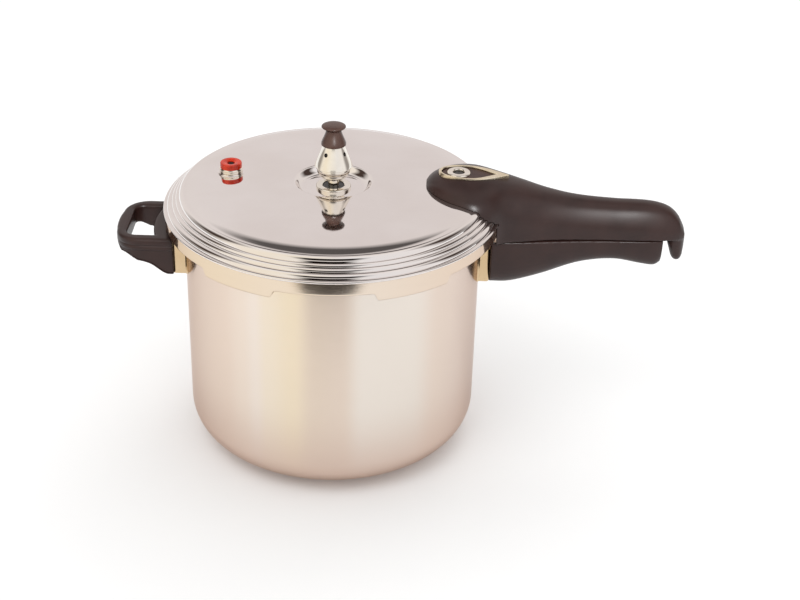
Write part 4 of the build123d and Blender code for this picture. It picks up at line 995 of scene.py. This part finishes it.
def valveSpring():
    lo, hi = (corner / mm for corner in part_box("valve_spring"))
    middle, wire = (lo + hi) / 2, spring["wire"]
    radius, climb = (hi.x - lo.x) / 2 - wire, hi.z - lo.z - 2 * wire
    steps, sides = spring["turns"] * spring["turnSteps"], spring["wireSides"]
    rings = []
    for i in range(steps + 1):
        a = math.tau * spring["turns"] * i / steps
        out = Vector((math.cos(a), math.sin(a), 0.0))
        centre = Vector((middle.x, middle.y, lo.z + wire + climb * i / steps)) + out * radius
        rings.append([centre + (out * math.cos(b) + Vector((0.0, 0.0, math.sin(b)))) * wire
                      for b in (math.tau * k / sides for k in range(sides))])
    piece = newObject("valveSpring", meshFrom("valveSpring", lambda work: skinRings(work, rings)))
    piece.data.materials.append(finishes["fixingSteel"])
    tidyMesh(piece.data, spring["sharpDeg"])
    place(piece, "lid", "fixing_steel", "valve_spring")
    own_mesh(piece)


# Folded sheet brackets between the pot and its two handles: name, node, reach, width and side of the pot
bracket = {"sheet": 1.5, "tab": 9.0, "bend": 2.6, "edge": 0.3, "foot": 1.6, "footDeg": 0.8, "sharpDeg": 35.0,
           "pieces": [("potBracket", "pot_handle_bracket", 8.0, 38.0, 1),
                      ("helperBracket", "helper_bracket", 7.5, 66.0, -1)]}


# Half of the folded path, seen from above: from the end of the tab round the front corner
def bracketPath(reach, half):
    wall, bend, front = pot["radius"], bracket["bend"], pot["radius"] + reach - bracket["bend"]
    tabDeg = math.degrees(math.asin((half + bracket["tab"]) / wall))
    startDeg = math.degrees(math.asin(half / wall))
    side = [(wall * math.cos(math.radians(a)), wall * math.sin(math.radians(a)))
            for a in (tabDeg, (tabDeg + startDeg) / 2, startDeg + bracket["footDeg"])]
    side += [(wall * math.cos(math.radians(startDeg)) + bracket["foot"], half), (front, half)]
    side += [(front + bend * math.sin(math.radians(a)), half - bend + bend * math.cos(math.radians(a)))
             for a in (22, 45, 68, 90)]
    return side


def bracketShape(work, reach, width, low, high, sign):
    side = bracketPath(reach, width / 2)
    path = side + [(x, -y) for x, y in reversed(side)]
    offset = []
    for i, (x, y) in enumerate(path):
        a, b = path[max(i - 1, 0)], path[min(i + 1, len(path) - 1)]
        along = Vector((b[0] - a[0], b[1] - a[1])).normalized()
        offset.append((x + along.y * bracket["sheet"], y - along.x * bracket["sheet"]))
    levels = (low, low + bracket["edge"], high - bracket["edge"], high)
    faces = [[[work.verts.new((sign * x * mm, sign * y * mm, z * mm)) for x, y in points] for z in levels]
             for points in (path, offset)]
    for stack in faces:
        for a, b in zip(stack, stack[1:]):
            for k in range(len(path) - 1):
                work.faces.new((a[k], a[k + 1], b[k + 1], b[k]))
    near, far = faces
    for level in (0, -1):
        for k in range(len(path) - 1):
            work.faces.new((near[level][k], near[level][k + 1], far[level][k + 1], far[level][k]))
    for end in (0, -1):
        for k in range(len(levels) - 1):
            work.faces.new((near[k][end], near[k + 1][end], far[k + 1][end], far[k][end]))


def foldedBrackets():
    for name, node, reach, width, sign in bracket["pieces"]:
        low, high = (corner.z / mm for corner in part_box(node))
        mesh = meshFrom(name, lambda work: bracketShape(work, reach, width, low, high, sign))
        mesh.materials.append(finishes["sheetSteel"])
        tidyMesh(mesh, bracket["sharpDeg"])
        place(newObject(name, mesh), "pot", "bracket_steel", node)


innerStrap()
valveSpring()
foldedBrackets()
print("strap, spring and brackets made")

# Pieces that keep their solids: fixings, seals, the rack and what is inside
keptNodes = {"base_core": "aluminium", "pot_handle_screw": "fixingSteel", "helper_screws": "fixingSteel",
             "lid_handle_screws": "fixingSteel", "steam_rack": "aluminium", "sealing_ring": "rubber",
             "lock_pin": "pin", "lock_pin_seal": "rubber", "lock_pin_clip": "fixingSteel",
             "vent_washer": "rubber", "vent_nut": "fixingSteel", "strainer_cap": "fixingSteel",
             "valve_washer": "rubber", "valve_nut": "fixingSteel", "valve_stem": "stemBrass",
             "stem_seal": "rubber"}
for node, finish in keptNodes.items():
    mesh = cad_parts[node].data
    mesh.materials.clear()
    mesh.materials.append(finishes[finish])
print("kept solids painted:", len(keptNodes))


# Camera: fitted to the photograph, 67.5 mm on a 36 mm wide frame
view = {"target": (56.1, 0.0, 118.2), "distance": 1256.1, "elevationDeg": 29.6, "rollDeg": 1.69, "lens": 67.5,
        "sensor": 36.0}


def makeCamera():
    elevation, roll = math.radians(view["elevationDeg"]), math.radians(view["rollDeg"])
    back = Vector((0.0, -math.cos(elevation), math.sin(elevation)))
    right = Vector((1.0, 0.0, 0.0))
    up = back.cross(right)
    across = right * math.cos(roll) + up * math.sin(roll)
    upright = -right * math.sin(roll) + up * math.cos(roll)
    data = bpy.data.cameras.new("photoCamera")
    data.lens = view["lens"]
    data.sensor_width = view["sensor"]
    camera = newObject("photoCamera", data)
    camera.matrix_world = Matrix((across, upright, back)).transposed().to_4x4()
    camera.matrix_world.translation = (Vector(view["target"]) + back * view["distance"]) * mm
    bpy.context.scene.camera = camera


# Studio: a pale floor whose front part mirrors don't see, a white surround, and dark flags that only
# mirrors see. Rows are degrees, or a share of the direction's depth, and a colour or a mask
studio = {
    "floor": "#FFFFFF", "floorFront": -0.47, "floorReach": 8.0, "fill": 0.94, "frontHalf": (0.21, 0.42),
    "frontFlag": "#191110",
    "surround": [(-180, "#E6DFDD"), (-135, "#EEE8E4"), (-110, "#FFFBF6"), (-50, "#FFF6E4"), (-20, "#FFFAF0"),
                 (30, "#F6F5F6"), (110, "#FCF8F6"), (135, "#EEE8E4"), (180, "#E6DFDD")],
    "sideFlags": [(-132, "#FFFFFF"), (-112, "#4A3E39"), (-94, "#4A3E39"), (-76, "#FFFFFF"), (76, "#FFFFFF"),
                  (92, "#4A3E39"), (110, "#4A3E39"), (130, "#FFFFFF")],
    "sideHeights": [(-6, "#000000"), (0, "#D8D8D8"), (18, "#D8D8D8"), (25, "#FFFFFF"), (46, "#FFFFFF"),
                    (62, "#000000")],
    "frontDepths": [(-0.46, "#FFFFFF"), (-0.34, "#000000"), (0.38, "#000000"), (0.47, "#F0F0F0"),
                    (0.64, "#F0F0F0"), (0.73, "#000000")],
    "frontHeights": [(-33, "#000000"), (-31.5, "#FFFFFF"), (-27.5, "#FFFFFF"), (-26, "#000000"),
                     (24, "#000000"), (33, "#FFFFFF")]}


def makeSurround():
    world = bpy.data.worlds.new("studio")
    bpy.context.scene.world = world
    world.use_nodes = True
    tree = world.node_tree
    tree.nodes.clear()
    direction = addNode(tree, "ShaderNodeTexCoord").outputs["Generated"]
    axes = addNode(tree, "ShaderNodeSeparateXYZ", {"Vector": direction})
    forward = addNode(tree, "ShaderNodeMath", {0: axes.outputs["Y"], 1: -1.0}, operation="MULTIPLY")
    azimuth = addNode(tree, "ShaderNodeMath", {0: axes.outputs["X"], 1: forward.outputs["Value"]},
                      operation="ARCTAN2")
    share = addNode(tree, "ShaderNodeMapRange", {
        "Value": azimuth.outputs["Value"], "From Min": -math.pi, "From Max": math.pi})
    elevation = addNode(tree, "ShaderNodeMath", {0: axes.outputs["Z"]}, operation="ARCSINE")
    height = addNode(tree, "ShaderNodeMapRange", {
        "Value": elevation.outputs["Value"], "From Min": -math.pi / 2, "From Max": math.pi / 2})

    def ramp(source, stops, half):
        node = addNode(tree, "ShaderNodeValToRGB", {"Fac": source.outputs["Result"]})
        rampStops(node, [((at + half) / (2 * half), colour) for at, colour in stops])
        return node.outputs["Color"]

    def shade(factor, under, over):
        return addNode(tree, "ShaderNodeMix", {"Factor": factor, "A": under, "B": over}, data_type="RGBA",
                       blend_type="MULTIPLY").outputs["Result"]

    sides = shade(ramp(height, studio["sideHeights"], 90), ramp(share, studio["surround"], 180),
                  ramp(share, studio["sideFlags"], 180))
    across = addNode(tree, "ShaderNodeMath", {0: axes.outputs["X"]}, operation="ABSOLUTE")
    full, none = studio["frontHalf"]
    inside = addNode(tree, "ShaderNodeMapRange", {
        "Value": across.outputs["Value"], "From Min": none, "From Max": full},
        interpolation_type="SMOOTHSTEP")
    depth = addNode(tree, "ShaderNodeMapRange", {
        "Value": axes.outputs["Y"], "From Min": -1.0, "From Max": 1.0})
    strip = addNode(tree, "ShaderNodeMath", {
        0: inside.outputs["Result"], 1: ramp(depth, studio["frontDepths"], 1)}, operation="MULTIPLY")
    front = addNode(tree, "ShaderNodeMath", {
        0: strip.outputs["Value"], 1: ramp(height, studio["frontHeights"], 90)}, operation="MULTIPLY")
    sky = shade(front.outputs["Value"], sides, linear(studio["frontFlag"]))
    path = addNode(tree, "ShaderNodeLightPath")
    shown = addNode(tree, "ShaderNodeMath", {
        0: path.outputs["Is Camera Ray"], 1: path.outputs["Is Transmission Ray"]}, operation="MAXIMUM")
    even = addNode(tree, "ShaderNodeBackground", {"Color": linear("#FFFFFF"), "Strength": studio["fill"]})
    mirrored = addNode(tree, "ShaderNodeBackground", {"Color": sky, "Strength": 1.0})
    white = addNode(tree, "ShaderNodeBackground", {"Color": linear("#FFFFFF"), "Strength": 1.0})
    lit = addNode(tree, "ShaderNodeMixShader", {
        0: path.outputs["Is Glossy Ray"], 1: even.outputs["Background"], 2: mirrored.outputs["Background"]})
    seen = addNode(tree, "ShaderNodeMixShader", {
        0: shown.outputs["Value"], 1: lit.outputs["Shader"], 2: white.outputs["Background"]})
    addNode(tree, "ShaderNodeOutputWorld", {"Surface": seen.outputs["Shader"]})


# An even sheet or cloth that throws no highlights
def dullShader(tree, colour):
    return addNode(tree, "ShaderNodeBsdfPrincipled", {
        "Base Color": linear(colour), "Roughness": 0.9, "Specular IOR Level": 0.0})


def stageSheet(name, corners, material):
    mesh = bpy.data.meshes.new(name)
    mesh.from_pydata(corners, [], [(0, 1, 2, 3)])
    mesh.materials.append(material)
    return newObject(name, mesh)


def makeFloor():
    material, tree = newMaterial("paleFloor")
    finishMaterial(tree, dullShader(tree, studio["floor"]))
    edge, reach = studio["floorFront"], studio["floorReach"]
    for name, near, far in (("floor", edge, reach), ("floorInFront", -reach, edge)):
        corners = [(-reach, near, 0), (reach, near, 0), (reach, far, 0), (-reach, far, 0)]
        sheet = stageSheet(name, corners, material)
        sheet.visible_glossy = name == "floor"


# Black cloth in front that only mirrors see, low enough to show in the rolled edge of the lid, the weight
# and a little in the handles. It fades out towards its sides and top
card = {"y": -0.63, "half": (0.10, 0.24), "top": (0.30, 0.42), "margin": 0.02, "colour": "#191110"}


def blackCard():
    y, wide, high = card["y"], card["half"][1] + card["margin"], card["top"][1] + card["margin"]
    material, tree = newMaterial("blackFlagCloth")
    where = addNode(tree, "ShaderNodeTexCoord").outputs["Object"]
    axes = addNode(tree, "ShaderNodeSeparateXYZ", {"Vector": where})
    across = addNode(tree, "ShaderNodeMath", {0: axes.outputs["X"]}, operation="ABSOLUTE")
    fades = []
    for value, limits in ((across.outputs["Value"], card["half"]), (axes.outputs["Z"], card["top"])):
        fade = addNode(tree, "ShaderNodeMapRange", {
            "Value": value, "From Min": limits[1], "From Max": limits[0]}, interpolation_type="SMOOTHSTEP")
        fades.append(fade.outputs["Result"])
    cover = addNode(tree, "ShaderNodeMath", {0: fades[0], 1: fades[1]}, operation="MULTIPLY")
    clear = addNode(tree, "ShaderNodeBsdfTransparent")
    cloth = dullShader(tree, card["colour"])
    shader = addNode(tree, "ShaderNodeMixShader", {
        0: cover.outputs["Value"], 1: clear.outputs["BSDF"], 2: cloth.outputs["BSDF"]})
    finishMaterial(tree, shader)
    corners = [(-wide, y, 0.0), (wide, y, 0.0), (wide, y, high), (-wide, y, high)]
    piece = stageSheet("blackCard", corners, material)
    piece.visible_camera = False
    piece.visible_diffuse = False
    piece.visible_transmission = False
    piece.visible_shadow = False


# Soft round lamps, in metres and watts; one lights only the plastics and shows in them as their sheen
lamps = {
    "keyLamp": {"position": (-0.5, -0.9, 1.7), "target": (0.05, 0.0, 0.15), "size": 1.0, "watts": 5.0},
    "backLamp": {"position": (0.7, 1.2, 1.6), "target": (0.1, 0.0, 0.15), "size": 1.2, "watts": 5.0},
    "sheenLamp": {"position": (0.25, -1.29, 1.15), "target": (0.15, 0.0, 0.2), "size": 0.45, "watts": 24.0,
                  "seenBy": ["lidHandle", "potHandle", "helperHandle", "weightKnob"]}}


def softLamp(name, position, target, size, watts, seenBy=None):
    data = bpy.data.lights.new(name, "AREA")
    data.shape = "DISK"
    data.size = size
    data.energy = watts
    lamp = newObject(name, data)
    lamp.location = position
    lamp.rotation_mode = "QUATERNION"
    lamp.rotation_quaternion = (Vector(target) - Vector(position)).to_track_quat("-Z", "Y")
    lamp.visible_glossy = seenBy is not None
    if seenBy:
        lamp.light_linking.receiver_collection = bpy.data.collections.new(name + "Group")
        for piece in seenBy:
            lamp.light_linking.receiver_collection.objects.link(bpy.data.objects[piece])


makeCamera()
makeSurround()
makeFloor()
blackCard()
for name, values in lamps.items():
    softLamp(name, **values)
bpy.context.scene.view_settings.view_transform = "Standard"
print("studio made")
